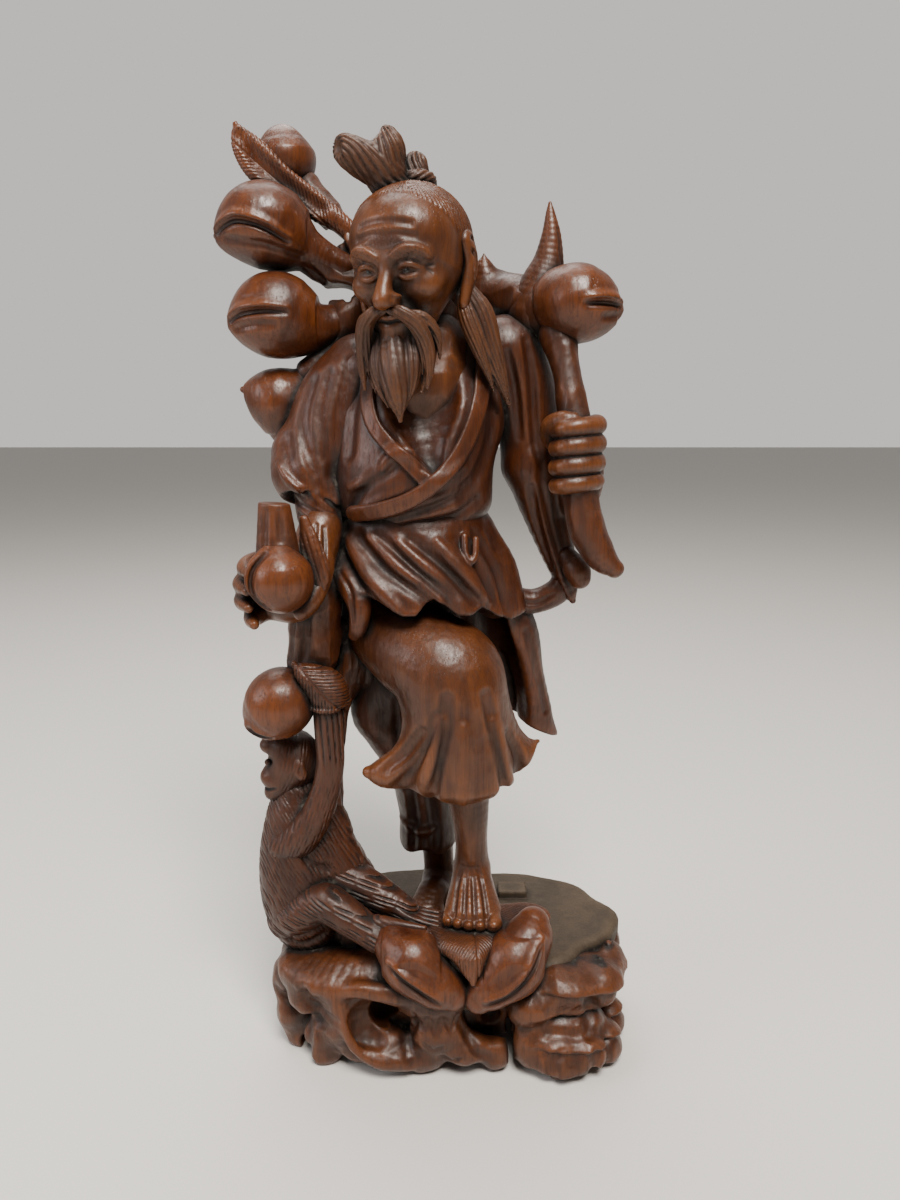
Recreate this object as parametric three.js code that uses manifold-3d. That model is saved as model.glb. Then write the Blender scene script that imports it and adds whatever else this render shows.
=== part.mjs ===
// A carved wooden figurine about 305 mm high: an old man who carries a peach branch over his shoulders,
// one bare foot up on a rock of peaches, with a monkey that holds a peach on its head beside him, all on
// a pierced root-wood base. Millimetres, +Z up, the figure faces -Y.
//
// Every carved element is a chain of ellipsoids joined by their convex hulls, which is how a carver
// blocks out a figure. The elements meet face to face, with a thin joint gap between them.

import * as THREE from "three";
import { ConvexGeometry } from "three/addons/geometries/ConvexGeometry.js";
import { mergeVertices } from "three/addons/utils/BufferGeometryUtils.js";
import Module from "manifold-3d";

const wasm = await Module();
wasm.setup();

// Driving dimensions.
const HEIGHT = 305; // table to the tip of the topmost peach
const DRAWN_HEIGHT = 305; // the height at which the places below are given
const UNIT = HEIGHT / DRAWN_HEIGHT;
const JOINT_GAP = 0.3; // between neighbouring elements
const BASE_TOP_Z = 36.5; // the plain disc that the rear foot stands on
const BASE_SLAB_Z = 21; // underside of the disc
const LEAF_TOP_Z = 50; // the leaf under the raised foot
const LEAF_THICKNESS = 4;
const BLOCK_TOP_Z = 39.4; // the small flat block left standing on the disc behind the foot
const FAR_BELOW = 60; // depth of the block that trims the feet level

// Materials: one per finish of the wood, and one for the inlaid eyes.
const wood = (color, roughness) => new THREE.MeshStandardMaterial({ color, roughness, metalness: 0 });
const MATERIALS = {
  robe: wood(0x6b2f1a, 0.38),
  skin: wood(0x9a5a2c, 0.4),
  hair: wood(0x5f3a24, 0.5),
  peach: wood(0x8e4a22, 0.32),
  branch: wood(0x5a2a18, 0.4),
  monkey: wood(0x84421f, 0.45),
  base: wood(0x5c2c19, 0.42),
  disc: wood(0x54452f, 0.65),
  eye: wood(0x1a100c, 0.15),
};

// ---------------------------------------------------------------- building blocks

const FINE = { ball: new THREE.IcosahedronGeometry(1, 2) };
const PLAIN = { ball: new THREE.SphereGeometry(1, 8, 4) };
const SMALL = { ball: new THREE.IcosahedronGeometry(1, 0) };
const SMALL_RADIUS = 5.4; // a ball thinner than this is always a small one

function toSolid(geometry) {
  geometry.deleteAttribute("normal");
  geometry.deleteAttribute("uv");
  const merged = mergeVertices(geometry, 1e-4);
  return new wasm.Manifold(
    new wasm.Mesh({
      numProp: 3,
      vertProperties: merged.attributes.position.array,
      triVerts: new Uint32Array(merged.index.array),
    }),
  );
}

function toGeometry(solid) {
  const mesh = solid.getMesh();
  const geometry = new THREE.BufferGeometry();
  geometry.setAttribute("position", new THREE.BufferAttribute(mesh.vertProperties, 3));
  geometry.setIndex(new THREE.BufferAttribute(mesh.triVerts, 1));
  const faceted = geometry.toNonIndexed();
  faceted.computeVertexNormals();
  return faceted;
}

// The corner points of an ellipsoid [x, y, z, rx, ry, rz]; one radius makes a ball.
function ballPoints([x, y, z, rx, ry = rx, rz = rx], { ball, turn = [0, 0, 0] }, grow) {
  const drawn = Math.max(rx, ry, rz) < SMALL_RADIUS ? SMALL.ball : ball;
  const corners = drawn.attributes.position;
  const rotation = new THREE.Euler(...turn.map(THREE.MathUtils.degToRad));
  const points = [];
  for (let i = 0; i < corners.count; i++) {
    points.push(
      new THREE.Vector3()
        .fromBufferAttribute(corners, i)
        .multiply(new THREE.Vector3(rx + grow, ry + grow, rz + grow))
        .applyEuler(rotation)
        .add(new THREE.Vector3(x, y, z))
        .multiplyScalar(UNIT),
    );
  }
  return points;
}

// A chain of ellipsoids, each joined to the next by their convex hull. Returns grow => solid.
function chain(balls, look = PLAIN) {
  return (grow) => {
    const sets = balls.map((ball) => ballPoints(ball, look, grow));
    if (sets.length === 1) return toSolid(new ConvexGeometry(sets[0]));
    const links = sets.slice(1).map((set, i) => toSolid(new ConvexGeometry([...sets[i], ...set])));
    return links.reduce((sum, link) => sum.add(link));
  };
}

// A slab cut to a smooth closed outline of [x, y] points, from bottom to top, with rounded edges.
function slab(outline, bottom, top, round, steps) {
  return (grow) => {
    const curve = new THREE.CatmullRomCurve3(
      outline.map(([x, y]) => new THREE.Vector3(x, y, 0)),
      true,
    );
    const shape = new THREE.Shape(curve.getPoints(steps).map((p) => new THREE.Vector2(p.x, p.y)));
    const geometry = new THREE.ExtrudeGeometry(shape, {
      depth: top - bottom - 2 * round + 2 * grow,
      bevelThickness: round,
      bevelSize: round,
      bevelOffset: grow - round,
      bevelSegments: 1,
      steps: 1,
    });
    geometry.translate(0, 0, bottom + round - grow);
    geometry.scale(UNIT, UNIT, UNIT);
    return toSolid(geometry);
  };
}

const elements = []; // in the order in which each keeps its whole shape against the later ones

function element(name, material, adds, cuts = []) {
  elements.push({ name, material, adds, cuts });
}

// ---------------------------------------------------------------- inlaid eyes

const EYES = { right_eye: [-21.6, -27.6, 255], left_eye: [-12, -31, 255] };
for (const [name, [x, y, z]] of Object.entries(EYES)) {
  element(name, "eye", [chain([[x, y, z, 2.6, 1.8, 1.7]])]);
}

// ---------------------------------------------------------------- peach branch

element("branch_handle", "branch", [
  chain([
    [33.6, -6, 240, 6],
    [36, -10.5, 229, 5],
    [38.4, -14, 214, 5],
    [40, -15.5, 200, 5.6],
    [41, -16, 188, 5.8],
    [43.6, -17, 179, 5.8],
    [47.6, -18, 171.5, 5],
    [51.5, -18.5, 168, 3.4],
  ]),
]);
element("shoulder_peach", "peach", [
  chain([[38.6, -6, 249, 12, 12, 11.8]], FINE),
  chain([[42, -6.5, 248.6, 9], [51.4, -8, 247, 2.2]]),
]);
element("upper_peach", "peach", [
  chain([[-60, 8, 275.3, 13.6, 13.4, 12.8]], FINE),
  chain([[-62, 7, 273.6, 8.5], [-74.2, 6, 271, 1.6]]),
  chain([[-56, 9, 273, 12], [-41, 12, 266, 7]]),
]);
element("middle_peach", "peach", [
  chain([[-57, 6, 247, 13.4, 13.4, 13.4]], FINE),
  chain([[-60, 5, 246, 8.5], [-70.6, 4, 244, 1.6]]),
  chain([[-54, 7, 247, 12], [-40, 12, 246, 8]]),
]);
element("lower_peach", "peach", [
  chain([[-56.6, 10, 220.6, 10, 10.6, 9.6]], FINE),
  chain([[-59, 9.5, 221.4, 7], [-68.4, 8, 223.5, 1.4]]),
  chain([[-55, 10, 216, 8.6], [-52.4, 8, 208, 6], [-49.6, 5, 199, 4]]),
]);
element("top_peach", "peach", [chain([[-53.5, 22, 293.5, 9.5, 10, 11.5]])]);
element("branch_leaf", "peach", [
  chain(
    [
      [-68, 9.4, 304, 1, 1, 1.6],
      [-60, 10.4, 296, 2.6, 2.6, 8],
      [-52, 11.5, 289.6, 2.8, 2.8, 8],
      [-44, 13, 282.5, 2.8, 2.8, 5.6],
      [-30, 15, 271, 2.6, 2.6, 3.2],
    ],
    { ...PLAIN, turn: [0, 40, 0] },
  ),
]);
element("branch_thorn", "branch", [
  chain([
    [27, 3, 247, 8.6],
    [29, 2.6, 255, 7],
    [31, 2.2, 262, 5.4],
    [31.8, 2, 270, 3.6],
    [31.2, 2, 280, 0.9],
  ]),
]);
element("branch_behind_neck", "branch", [
  chain([
    [32, -2, 247, 7],
    [24, 9, 253, 6.5],
    [14, 17, 254.5, 6.5],
    [0, 20, 256, 6.8],
    [-18, 19, 257, 7],
    [-34, 15, 256, 7],
  ]),
  chain([[-30, 16, 257, 6.5], [-38, 13.5, 261, 6], [-52, 9, 271, 7]]),
  chain([[-28, 17, 260, 6], [-33, 16, 270, 5.4], [-47, 20, 288, 5.5]]),
  chain([[-28, 15, 251, 6.5], [-44, 10, 246, 7.5]]),
  chain([[-33, 12, 247, 6], [-46, 10, 229, 5.5]]),
  chain([[12, 15, 255, 7], [11, 10, 266.4, 1]]),
]);

// ---------------------------------------------------------------- head

element("topknot", "hair", [
  chain([[-13, -10, 276, 7], [-17, -12, 281, 5.8], [-19.6, -13, 286, 6.4], [-18.6, -13.2, 291, 5.8]]),
  chain([[-18.6, -13.2, 291, 5.8], [-18.6, -13.4, 294.2, 4]]),
  chain([[-18, -13, 285, 5.6], [-23, -14.6, 287, 5.8], [-30, -17.4, 290.2, 4.8]]),
]);
element("hair_knot", "hair", [
  chain([[-13, -8.5, 280, 5.6], [-11, -8, 285, 5.4], [-10.4, -8, 288.6, 4]]),
  chain([[-11, -13, 283.8, 2.4], [-6.6, -10.5, 284, 2.5], [-6, -5, 283.6, 2.4]]),
]);
element("left_ear", "skin", [
  chain([[5, -18.8, 264.5, 2.4, 3.4, 4], [6, -17.6, 258.5, 2.2, 3.2, 4], [5, -18, 252.5, 2, 2.4, 2.6]]),
]);
element("right_ear", "skin", [
  chain([
    [-27.6, -6.6, 264.5, 2.4, 3.4, 4],
    [-28, -5.6, 258.5, 2.2, 3.2, 4],
    [-26.5, -5.6, 252.5, 2, 2.4, 2.6],
  ]),
]);
element("moustache", "hair", [
  chain([[-18.1, -30.4, 245.6, 2.4], [-11.4, -31, 243, 3], [-8.4, -30, 237, 3], [-6, -28.8, 227.6, 1.4]]),
  chain([
    [-18.1, -30.4, 245.6, 2.4],
    [-23.2, -26.8, 242.6, 2.8],
    [-25.6, -23, 236.6, 2.8],
    [-26, -20.7, 227.6, 1.4],
  ]),
]);
element("beard", "hair", [
  chain([
    [-15.6, -23.4, 237, 11, 7, 5.4],
    [-16.1, -26.1, 229.3, 8.6, 6, 6],
    [-15.6, -28, 220, 5.4, 4.4, 4],
    [-14.5, -28.6, 213.2, 1.6],
  ]),
]);
element("left_side_lock", "hair", [
  chain([
    [4.6, -15.4, 252, 3],
    [7.6, -15.8, 245, 5.6, 3.4, 3.6],
    [11, -15.8, 236, 5.4, 3, 3.6],
    [15, -14.8, 227, 3],
    [18.2, -14.2, 217.8, 1],
  ]),
]);
element("head", "skin", [
  chain([[-11, -12.3, 265.2, 17.4, 19.5, 17.2]], FINE),
  chain([[-12.3, -15.7, 256.2, 15.2, 15, 12], [-13.4, -18.3, 242.9, 9.5, 9.5, 7.5]], FINE),
  chain([[-9, 3, 243, 12.5], [-8, 3, 232, 12.5]]),
]);

// ---------------------------------------------------------------- hands, feet and their peach

element("offered_peach", "peach", [chain([[-50.4, -33, 166.3, 10.2]], FINE)]);
element("peach_stalk", "branch", [
  chain([[-51.4, -31, 170, 7, 5.4, 4], [-51.8, -30.4, 179, 6, 4.8, 4], [-52.3, -29.8, 185.6, 5.4, 4.6, 4]]),
  chain([[-42, -28, 176, 3.4, 1.6, 4], [-40, -28.6, 168, 3.6, 1.6, 4], [-39.6, -28, 160, 1.2]]),
]);
const FINGER_ROWS = [0, 1, 2, 3]; // both hands have four fingers, one under the other
const OFFERED_REACH = [0, 1.6, 1.4, -1.6]; // how far each finger of the open hand sticks out
element("right_hand", "skin", [
  chain([
    [-41, -12.5, 180, 7],
    [-43, -16.5, 173, 7.6],
    [-47, -20.5, 166, 9.6, 7.4, 9.4],
    [-49.5, -22, 159.5, 9.4, 7, 7.4],
  ]),
  chain([
    [-41, -17, 176, 4.6],
    [-39.6, -23.4, 168, 3.8],
    [-41.8, -28.4, 160.6, 3.3],
    [-45, -31, 156.6, 2.6],
  ]),
  ...FINGER_ROWS.map((row) => {
    const z = 170.6 - 5.1 * row;
    const tip = -61.8 - OFFERED_REACH[row];
    return chain([
      [-50, -19.6, z - 0.6, 4],
      [tip + 3.4, -21.4, z, 3.6],
      [tip, -26, z - 0.8, 3.4],
      [tip + 1.6, -30, z - 1.2, 2.8],
    ]);
  }),
]);
element("left_hand", "skin", [
  chain([
    [43, -3, 186, 4.4],
    [43.6, -7, 193, 5.4, 5, 5.5],
    [42.4, -8.6, 201, 6.2, 5.4, 8],
    [41, -8.8, 208, 5.4, 5, 5],
  ]),
  ...FINGER_ROWS.map((row) => {
    const z = 211.8 - 5.7 * row;
    return chain([
      [45.4, -11, z, 3],
      [44.8, -17, z, 3.2],
      [40.4, -21, z, 3.1],
      [35.4, -21, z, 3.1],
      [33, -17.6, z, 2.9],
    ]);
  }),
  chain([
    [38, -8, 206, 4.4],
    [32.6, -10.6, 208, 3.8],
    [31.2, -14.6, 211.6, 3.2],
    [34, -18.6, 213.6, 2.8],
    [37.4, -20, 213.8, 2.2],
  ]),
]);
element("front_leg", "skin", [
  chain([
    [5, -15, 108, 8.6],
    [5.4, -15, 97, 8.2],
    [6.6, -15.4, 86, 6.8],
    [7.2, -15.4, 75, 5.8],
    [7.4, -14.6, 66, 6],
  ]),
  chain([
    [7.4, -11, 58, 6.2, 7, 6.2],
    [7.4, -15, 60, 6.8, 7, 7],
    [7.5, -21, 57, 8.4, 6.5, 5.8],
    [7.6, -26, 54.4, 9.6, 5.5, 4.4],
    [7.4, -31, 53.4, 9.8, 3.4, 2.8],
  ]),
]);
element("rear_leg", "skin", [
  chain([[-6.6, 14, 76, 7], [-5, 15.4, 62, 6.2], [-4.2, 16.4, 50, 5.8], [-4, 17, 43, 6.2]]),
  chain([[-4, 16.6, 41.5, 5.8, 6.2, 5], [-6, 9, 42.4, 5.8, 5.5, 5], [-8.6, 1.6, 39.8, 6, 4.5, 3]]),
]);

// ---------------------------------------------------------------- robe and trousers

element("collar", "robe", [
  chain([[-27, -7, 235, 3.2], [-24, -17, 222, 3.4], [-18, -24, 212, 3.4], [-7, -26, 201, 3.6]]),
  chain([[-7, -26, 201, 3.6], [4, -23, 212, 3.4], [10, -16, 226, 3.4], [10.5, -7, 236, 3.2]]),
]);
element("chest", "skin", [
  chain([[-8, -3, 238, 14, 12, 8], [-8, -6.6, 224, 16.6, 14.5, 11], [-7, -14, 206, 7, 9, 6]]),
]);
element("torso", "robe", [
  chain(
    [
      [-8, 2, 229, 25.5, 15, 11],
      [-9, -3, 213, 27, 20.5, 13],
      [-12, -4, 196, 26, 22, 12],
      [-12, -2.4, 183, 24.8, 19.5, 6],
    ],
  ),
  chain([[-26, 2, 230, 13, 12, 9], [13, 4, 234, 13, 12, 9]]),
]);
element("right_sleeve", "robe", [
  chain([[-29, 2, 229, 12], [-36, 1, 219, 13.5], [-41, -2, 206, 13.2], [-45.6, -6, 197, 10.8]]),
  chain([[-50, -2, 203, 8], [-46, -8, 195, 9], [-40, -10, 188.6, 6.5]]),
  chain([[-42, -6, 194, 8.4], [-42, -9, 186, 7.8], [-40.5, -13, 178, 6.8]]),
]);
element("left_sleeve", "robe", [
  chain([[18, 4, 235, 12], [23, 5, 225, 11.5], [26, 5, 212, 10.6], [27, 5, 200, 10.2]]),
  chain([[27, 3, 198, 9.2], [31.5, 2, 184, 7.7, 8, 8], [36, 0.5, 171, 6, 7, 7], [41, -2.6, 155.5, 2]]),
  chain([[26, 3, 200, 7], [33, 0, 193, 5.4], [39, -3, 188, 4.8]]),
]);
element("sleeve_tassel", "branch", [chain([
  [38.6, -4, 169.5, 3.6],
  [41.4, -7, 165.5, 4.6],
  [42.4, -8, 163, 3.8],
])]);
element("sleeve_bridge", "robe", [
  chain([
    [17, -1, 156.5, 6.5],
    [23, -0.5, 153.6, 5],
    [29, 0, 153.8, 4.6],
    [35.6, -1, 157, 4.6],
    [38, -1, 161, 4.2],
  ]),
]);

const HEM_FOLDS = [
  // [waist angle in degrees, hem place, hem radius], round the front from his left hip to his right
  [0, [20, -4, 155], 5.5],
  [-35, [17, -19, 151], 5.5],
  [-65, [3, -28, 153], 6],
  [-95, [-10, -29, 153.5], 6],
  [-125, [-23, -24, 151], 5.5],
  [-155, [-32, -15, 146], 5.5],
  [-185, [-36, -3, 145], 5.5],
];
const WAIST = { x: -12, y: -2, z: 179, rx: 19, ry: 14 };
element("jacket_skirt", "robe", [
  chain([[-12, -2, 179, 25, 19.5, 4], [-10, -4, 163, 28, 21.5, 9]]),
  ...HEM_FOLDS.map(([angle, [x, y, z], r]) => {
    const a = THREE.MathUtils.degToRad(angle);
    const waist = [WAIST.x + WAIST.rx * Math.cos(a), WAIST.y + WAIST.ry * Math.sin(a), WAIST.z, 5.5];
    return chain([waist, [x, y, z, r]]);
  }),
]);
element("front_trouser", "robe", [
  chain([[-18, -5, 144, 16, 15, 14], [-10, -14, 140, 17, 16, 15], [-1, -20, 134, 18, 17, 16]]),
  chain([[-1, -20, 134, 18, 17, 16], [2, -21.4, 118, 17.4, 16.8, 14], [3, -22, 100.5, 18, 16, 6]]),
  chain([[-2, -21, 122, 12], [-7, -22, 111, 9.5], [-21, -22.6, 101.6, 5.4], [-27, -22.4, 101.6, 2]]),
  chain([[8, -20, 122, 11], [15, -18, 110, 9.4], [25.6, -15, 106, 4.6], [29, -14, 108.4, 1.4]]),
]);
element("rear_trouser", "robe", [
  chain([[-16, 4, 142, 16], [-14, 8, 118, 15], [-10.5, 12, 92, 12.2], [-8.4, 14, 70, 10.8]]),
  chain([[-24, 3, 130, 9], [-27, 2, 115, 7.6], [-22, 4, 108, 9], [-16, 7, 100, 10]]),
]);
element("robe_tail", "robe", [
  chain([
    [-11, 7, 162, 26, 13, 12],
    [-5, 13.5, 142, 28, 10.4, 12],
    [4, 16.5, 124, 26, 8, 9],
    [13, 16.5, 114, 20, 6, 6],
  ]),
  chain([[20, 5, 149, 8, 9, 9], [27.6, 8, 126, 5.8, 9, 8], [31.6, 10, 106, 5.4, 6, 4], [36, 10, 101.4, 1]]),
]);

// ---------------------------------------------------------------- monkey

element("monkey_peach", "peach", [
  chain([[-54.5, -20, 124.6, 11.4]], FINE),
  chain([[-58, -19.4, 121, 7.6], [-62, -18.6, 117, 4], [-63.4, -18, 114.6, 1.4]]),
]);
element("monkey_leaf", "monkey", [
  chain([
    [-49, -24, 138, 1.6],
    [-44.6, -24, 135, 4.4, 4, 3.6],
    [-40, -23.4, 131.2, 6.8, 5.4, 5.8],
    [-38.6, -22.6, 126, 6.6, 5.4, 5],
  ]),
]);
element("monkey_raised_arm", "monkey", [
  chain([[-55, -16, 73, 6.8], [-50, -18.4, 77, 6.6], [-44.4, -20, 85, 5.6], [-40.6, -20.6, 95, 5]]),
  chain([[-40.6, -20.6, 95, 5], [-39, -20.6, 104, 5], [-38.8, -20.4, 112, 5.4], [-38.8, -20, 119, 5.6]]),
]);
element("monkey_head", "monkey", [
  chain([[-52.6, -10, 101, 9.4, 10, 11]]),
  chain([[-56, -11.6, 107, 6], [-60.8, -13, 107.6, 3]]),
  chain([[-56, -12, 95, 6.6], [-60.6, -13.4, 96.6, 3.4]]),
  chain([[-60.6, -13.4, 96.6, 3.4], [-59.8, -13, 90.6, 2.8]]),
]);
element("monkey_body", "monkey", [
  chain([
    [-52, -10, 88, 8.8],
    [-52, -10, 80, 11],
    [-52, -10, 68, 13.6],
    [-51, -10, 56, 15],
    [-49, -11, 43, 12.8],
  ]),
  chain([[-44, -9, 88, 5.4], [-40, -10, 68, 8.4], [-36, -11, 58, 9]]),
]);
element("monkey_near_leg", "monkey", [
  chain([
    [-55, -15, 46, 8],
    [-50, -20, 51, 7.8],
    [-42, -23.4, 56, 7],
    [-33, -26.4, 52, 6.2],
    [-24, -29.4, 48, 5.4],
  ]),
  chain([[-24, -29.4, 48, 5.4], [-15, -32, 49.6, 3.6], [-8, -33.4, 49.6, 2.6]]),
]);
element("monkey_far_leg", "monkey", [
  chain([[-40, -12, 60, 8], [-32, -14.4, 58.4, 7.2], [-23, -17.4, 54.6, 6.4], [-15, -20.4, 51.4, 5]]),
  chain([[-15, -20.4, 51.4, 5], [-4, -23, 49.8, 3]]),
]);
element("hand_post", "branch", [
  chain([[-44, -13, 160, 9], [-44, -12, 150, 9], [-44.6, -12, 140, 8.8], [-46.4, -13, 131, 8]]),
]);
element("tree_trunk", "branch", [
  chain([
    [-30, -2, 152, 7.2],
    [-31, -3, 138, 7.2],
    [-38, -5, 122, 6],
    [-42, -7, 94, 6],
    [-42.6, -8, 82, 6.8],
  ]),
  chain([[-42.6, -8, 82, 6.8], [-41, -8, 70, 8.2], [-36, -9, 58, 10.2], [-33, -9, 42, 12]]),
  chain([[-33, -3, 134, 7], [-26, 2, 130, 9]]),
]);

// ---------------------------------------------------------------- base

const trimBelow = (z) => (grow) => {
  const block = new THREE.BoxGeometry(200, 200, FAR_BELOW);
  block.translate(0, 0, z - FAR_BELOW / 2 - grow);
  block.scale(UNIT, UNIT, UNIT);
  return toSolid(block);
};
const LEAF_OUTLINE = [
  [6, -45], [-6, -36], [-16, -26], [-6, -14],
  [10, -9], [24, -12], [32, -20], [21, -34],
];
const DISC_OUTLINE = [
  [-38, 31], [-10, 39], [22, 39], [46, 30], [60, 11], [61, -10], [50, -25],
  [28, -33], [4, -36], [-20, -36], [-42, -31], [-59, -17], [-60, 4], [-53, 19],
];
const BLOCK_OUTLINE = [
  [18, 13], [23.5, 12.6], [29, 13], [29.4, 17],
  [29, 21], [23.5, 21.4], [18, 21], [17.6, 17],
];

element("standing_leaf", "base", [
  slab(LEAF_OUTLINE, LEAF_TOP_Z - LEAF_THICKNESS, LEAF_TOP_Z, 1.2, 16),
]);
element("base_left_peach", "peach", [
  chain([[-19.6, -30.4, 48, 5.4], [-14, -33.4, 43.4, 8.6], [-10, -35, 40, 9.2]]),
  chain([[-10, -35, 40, 9.2], [-4.4, -37.4, 35, 8.8], [0.6, -38.6, 30.4, 6.2]]),
]);
element("base_right_peach", "peach", [
  chain([[9.4, -38.4, 30.6, 6], [14, -37, 35, 8.2], [19.6, -34.6, 40, 9.2]]),
  chain([[19.6, -34.6, 40, 9.2], [26.4, -30.4, 48.6, 7.4], [28.6, -27, 55, 2.6]]),
]);
element("foot_rock", "base", [chain([
  [-8, -22, 42, 14, 12, 7],
  [6, -26, 41, 16, 13, 7],
  [20, -22, 41, 13, 11, 7],
])]);
element("base_disc", "disc", [
  slab(DISC_OUTLINE, BASE_SLAB_Z, BASE_TOP_Z, 3, 28),
  slab(BLOCK_OUTLINE, BASE_SLAB_Z + 4, BLOCK_TOP_Z, 0.6, 16),
]);

const ROOTS = {
  // the roots round the base: each is one or more runs of balls that go down to the table
  left_root: [
    [[-49, 13, 23, 9], [-50, 14, 8, 9]],
    [[-49, 13, 23, 9], [-51, -14, 27, 10], [-51, -16, 14, 8.5], [-49, -17, 6, 8]],
  ],
  front_left_root: [
    [[-41, -27, 24, 8], [-39, -25, 12, 8], [-38, -24, 5, 7.5]],
    [[-41, -27, 28, 6], [-32, -33, 27, 4.5], [-24, -36, 15, 4.5], [-13, -33, 8, 6]],
  ],
  front_root: [[[-5, -36, 23, 10], [-6, -33, 12, 9.5], [-6, -30, 6, 8]]],
  crack_root: [[[4, -34, 17, 7], [12, -33, 9, 7], [17, -31, 5, 6]]],
  front_right_root: [[[26, -34, 22, 9], [31, -33, 13, 10], [36, -33, 6, 9]]],
  right_root: [
    [[49, -19, 21, 10], [50, -17, 8, 10]],
    [[49, -19, 21, 10], [52, 8, 20, 9], [52, 10, 8, 9]],
  ],
  rear_root: [
    [[27, 30, 20, 9], [28, 31, 8, 9]],
    [[27, 30, 20, 9], [-14, 32, 20, 9], [-15, 32, 8, 9]],
  ],
};
for (const [name, runs] of Object.entries(ROOTS)) {
  element(name, "base", runs.map((run) => chain(run)), [trimBelow(0)]);
}
element("base_core", "base", [chain([[0, -1, 12.5, 51, 32, 8.4]])]);

// ---------------------------------------------------------------- assembly

function boxesMeet(a, b) {
  return [0, 1, 2].every((k) => a.min[k] < b.max[k] && b.min[k] < a.max[k]);
}

function largestBody(solid) {
  const bodies = solid.decompose();
  return bodies.reduce((best, body) => (body.volume() > best.volume() ? body : best));
}

const figurine = new THREE.Group();
const earlier = [];
for (const { name, material, adds, cuts } of elements) {
  const grown = (grow) => adds.map((make) => make(grow)).reduce((sum, piece) => sum.add(piece));
  let solid = grown(0);
  for (const cut of cuts) solid = solid.subtract(cut(0));
  for (const other of earlier) {
    if (boxesMeet(solid.boundingBox(), other.boundingBox())) solid = solid.subtract(other);
  }
  let clearance = grown(JOINT_GAP);
  for (const cut of cuts) clearance = clearance.subtract(cut(0));
  earlier.push(clearance);
  const mesh = new THREE.Mesh(toGeometry(largestBody(solid)), MATERIALS[material]);
  mesh.name = name;
  figurine.add(mesh);
}

// The places above are measured from the middle of the base; the origin is under the middle of the whole.
const box = new THREE.Box3().setFromObject(figurine);
const middle = box.getCenter(new THREE.Vector3());
for (const mesh of figurine.children) mesh.position.set(-middle.x, -middle.y, -box.min.z);

export default figurine;
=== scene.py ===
"""The looks of a carved hardwood figurine: an old man with a peach branch, a monkey and a root base.

Every element is carved as a distance field in drawn millimetres: rounded rods and balls are added and cut
away, strokes follow the surface as a gouge does, and the result is meshed on a fine grid. All places are
measured from the middle of the base disc and from the table, and follow the frame's own size.
"""

import math
from concurrent.futures import ThreadPoolExecutor

import bpy
import numpy as np
import openvdb
from mathutils import Euler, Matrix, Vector


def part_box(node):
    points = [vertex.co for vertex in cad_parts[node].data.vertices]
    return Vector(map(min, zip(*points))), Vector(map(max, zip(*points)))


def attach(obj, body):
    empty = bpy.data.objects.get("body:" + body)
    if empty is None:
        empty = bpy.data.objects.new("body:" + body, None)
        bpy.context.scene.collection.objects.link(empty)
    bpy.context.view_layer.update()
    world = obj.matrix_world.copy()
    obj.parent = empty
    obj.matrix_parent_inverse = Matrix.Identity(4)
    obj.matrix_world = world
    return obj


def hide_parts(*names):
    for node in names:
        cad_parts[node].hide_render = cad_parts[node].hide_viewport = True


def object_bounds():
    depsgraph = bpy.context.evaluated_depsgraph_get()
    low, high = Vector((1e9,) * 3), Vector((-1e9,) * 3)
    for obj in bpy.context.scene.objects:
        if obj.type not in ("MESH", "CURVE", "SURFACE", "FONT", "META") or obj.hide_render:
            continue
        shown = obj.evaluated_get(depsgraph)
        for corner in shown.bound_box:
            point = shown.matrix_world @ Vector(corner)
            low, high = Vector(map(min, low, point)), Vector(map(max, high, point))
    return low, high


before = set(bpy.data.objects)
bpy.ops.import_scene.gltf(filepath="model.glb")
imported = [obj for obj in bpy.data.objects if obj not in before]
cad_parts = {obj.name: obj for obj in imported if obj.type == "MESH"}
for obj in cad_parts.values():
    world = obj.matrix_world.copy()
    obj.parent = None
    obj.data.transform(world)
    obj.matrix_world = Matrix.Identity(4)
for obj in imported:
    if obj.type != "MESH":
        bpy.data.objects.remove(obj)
cad_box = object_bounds()

# ---------------------------------------------------------------- scale and place

DRAWN_HEIGHT = 305.0  # height of the figurine in drawn millimetres
DISC_PLACE = (0.50, 1.84)  # where the middle of the base disc is drawn
MM = (cad_box[1].z - cad_box[0].z) / DRAWN_HEIGHT  # metres in one drawn millimetre
disc_low, disc_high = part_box("base_disc")
ORIGIN = np.array(
    [
        (disc_low.x + disc_high.x) / 2 - DISC_PLACE[0] * MM,
        (disc_low.y + disc_high.y) / 2 - DISC_PLACE[1] * MM,
        cad_box[0].z,
    ]
)

FINE, MEDIUM, COARSE = ((0.28, 0.36, 0.47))  # grid pitch in mm
CELL = 4  # grid steps in one search cell
FAR = 1e3  # mm, further than anything in the figurine
NEIGHBOUR_PITCH = 1.1  # mm, grid of the whole figurine that finds its hollows
WORKERS = 4

# ---------------------------------------------------------------- carving kit


class Shape:
    """A solid: its box, and how(points, margin), the distance to its surface, right up to that margin."""

    def __init__(self, low, high, how):
        self.low = np.asarray(low, np.float32)
        self.high = np.asarray(high, np.float32)
        self.how = how


EVERYWHERE = (np.full(3, -FAR), np.full(3, FAR))


def inside(p, low, high):
    """The indices of the points inside a box."""
    at = np.flatnonzero((p[:, 2] > low[2]) & (p[:, 2] < high[2]))
    for axis in (0, 1):
        v = p[at, axis]
        at = at[(v > low[axis]) & (v < high[axis])]
    return at


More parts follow.
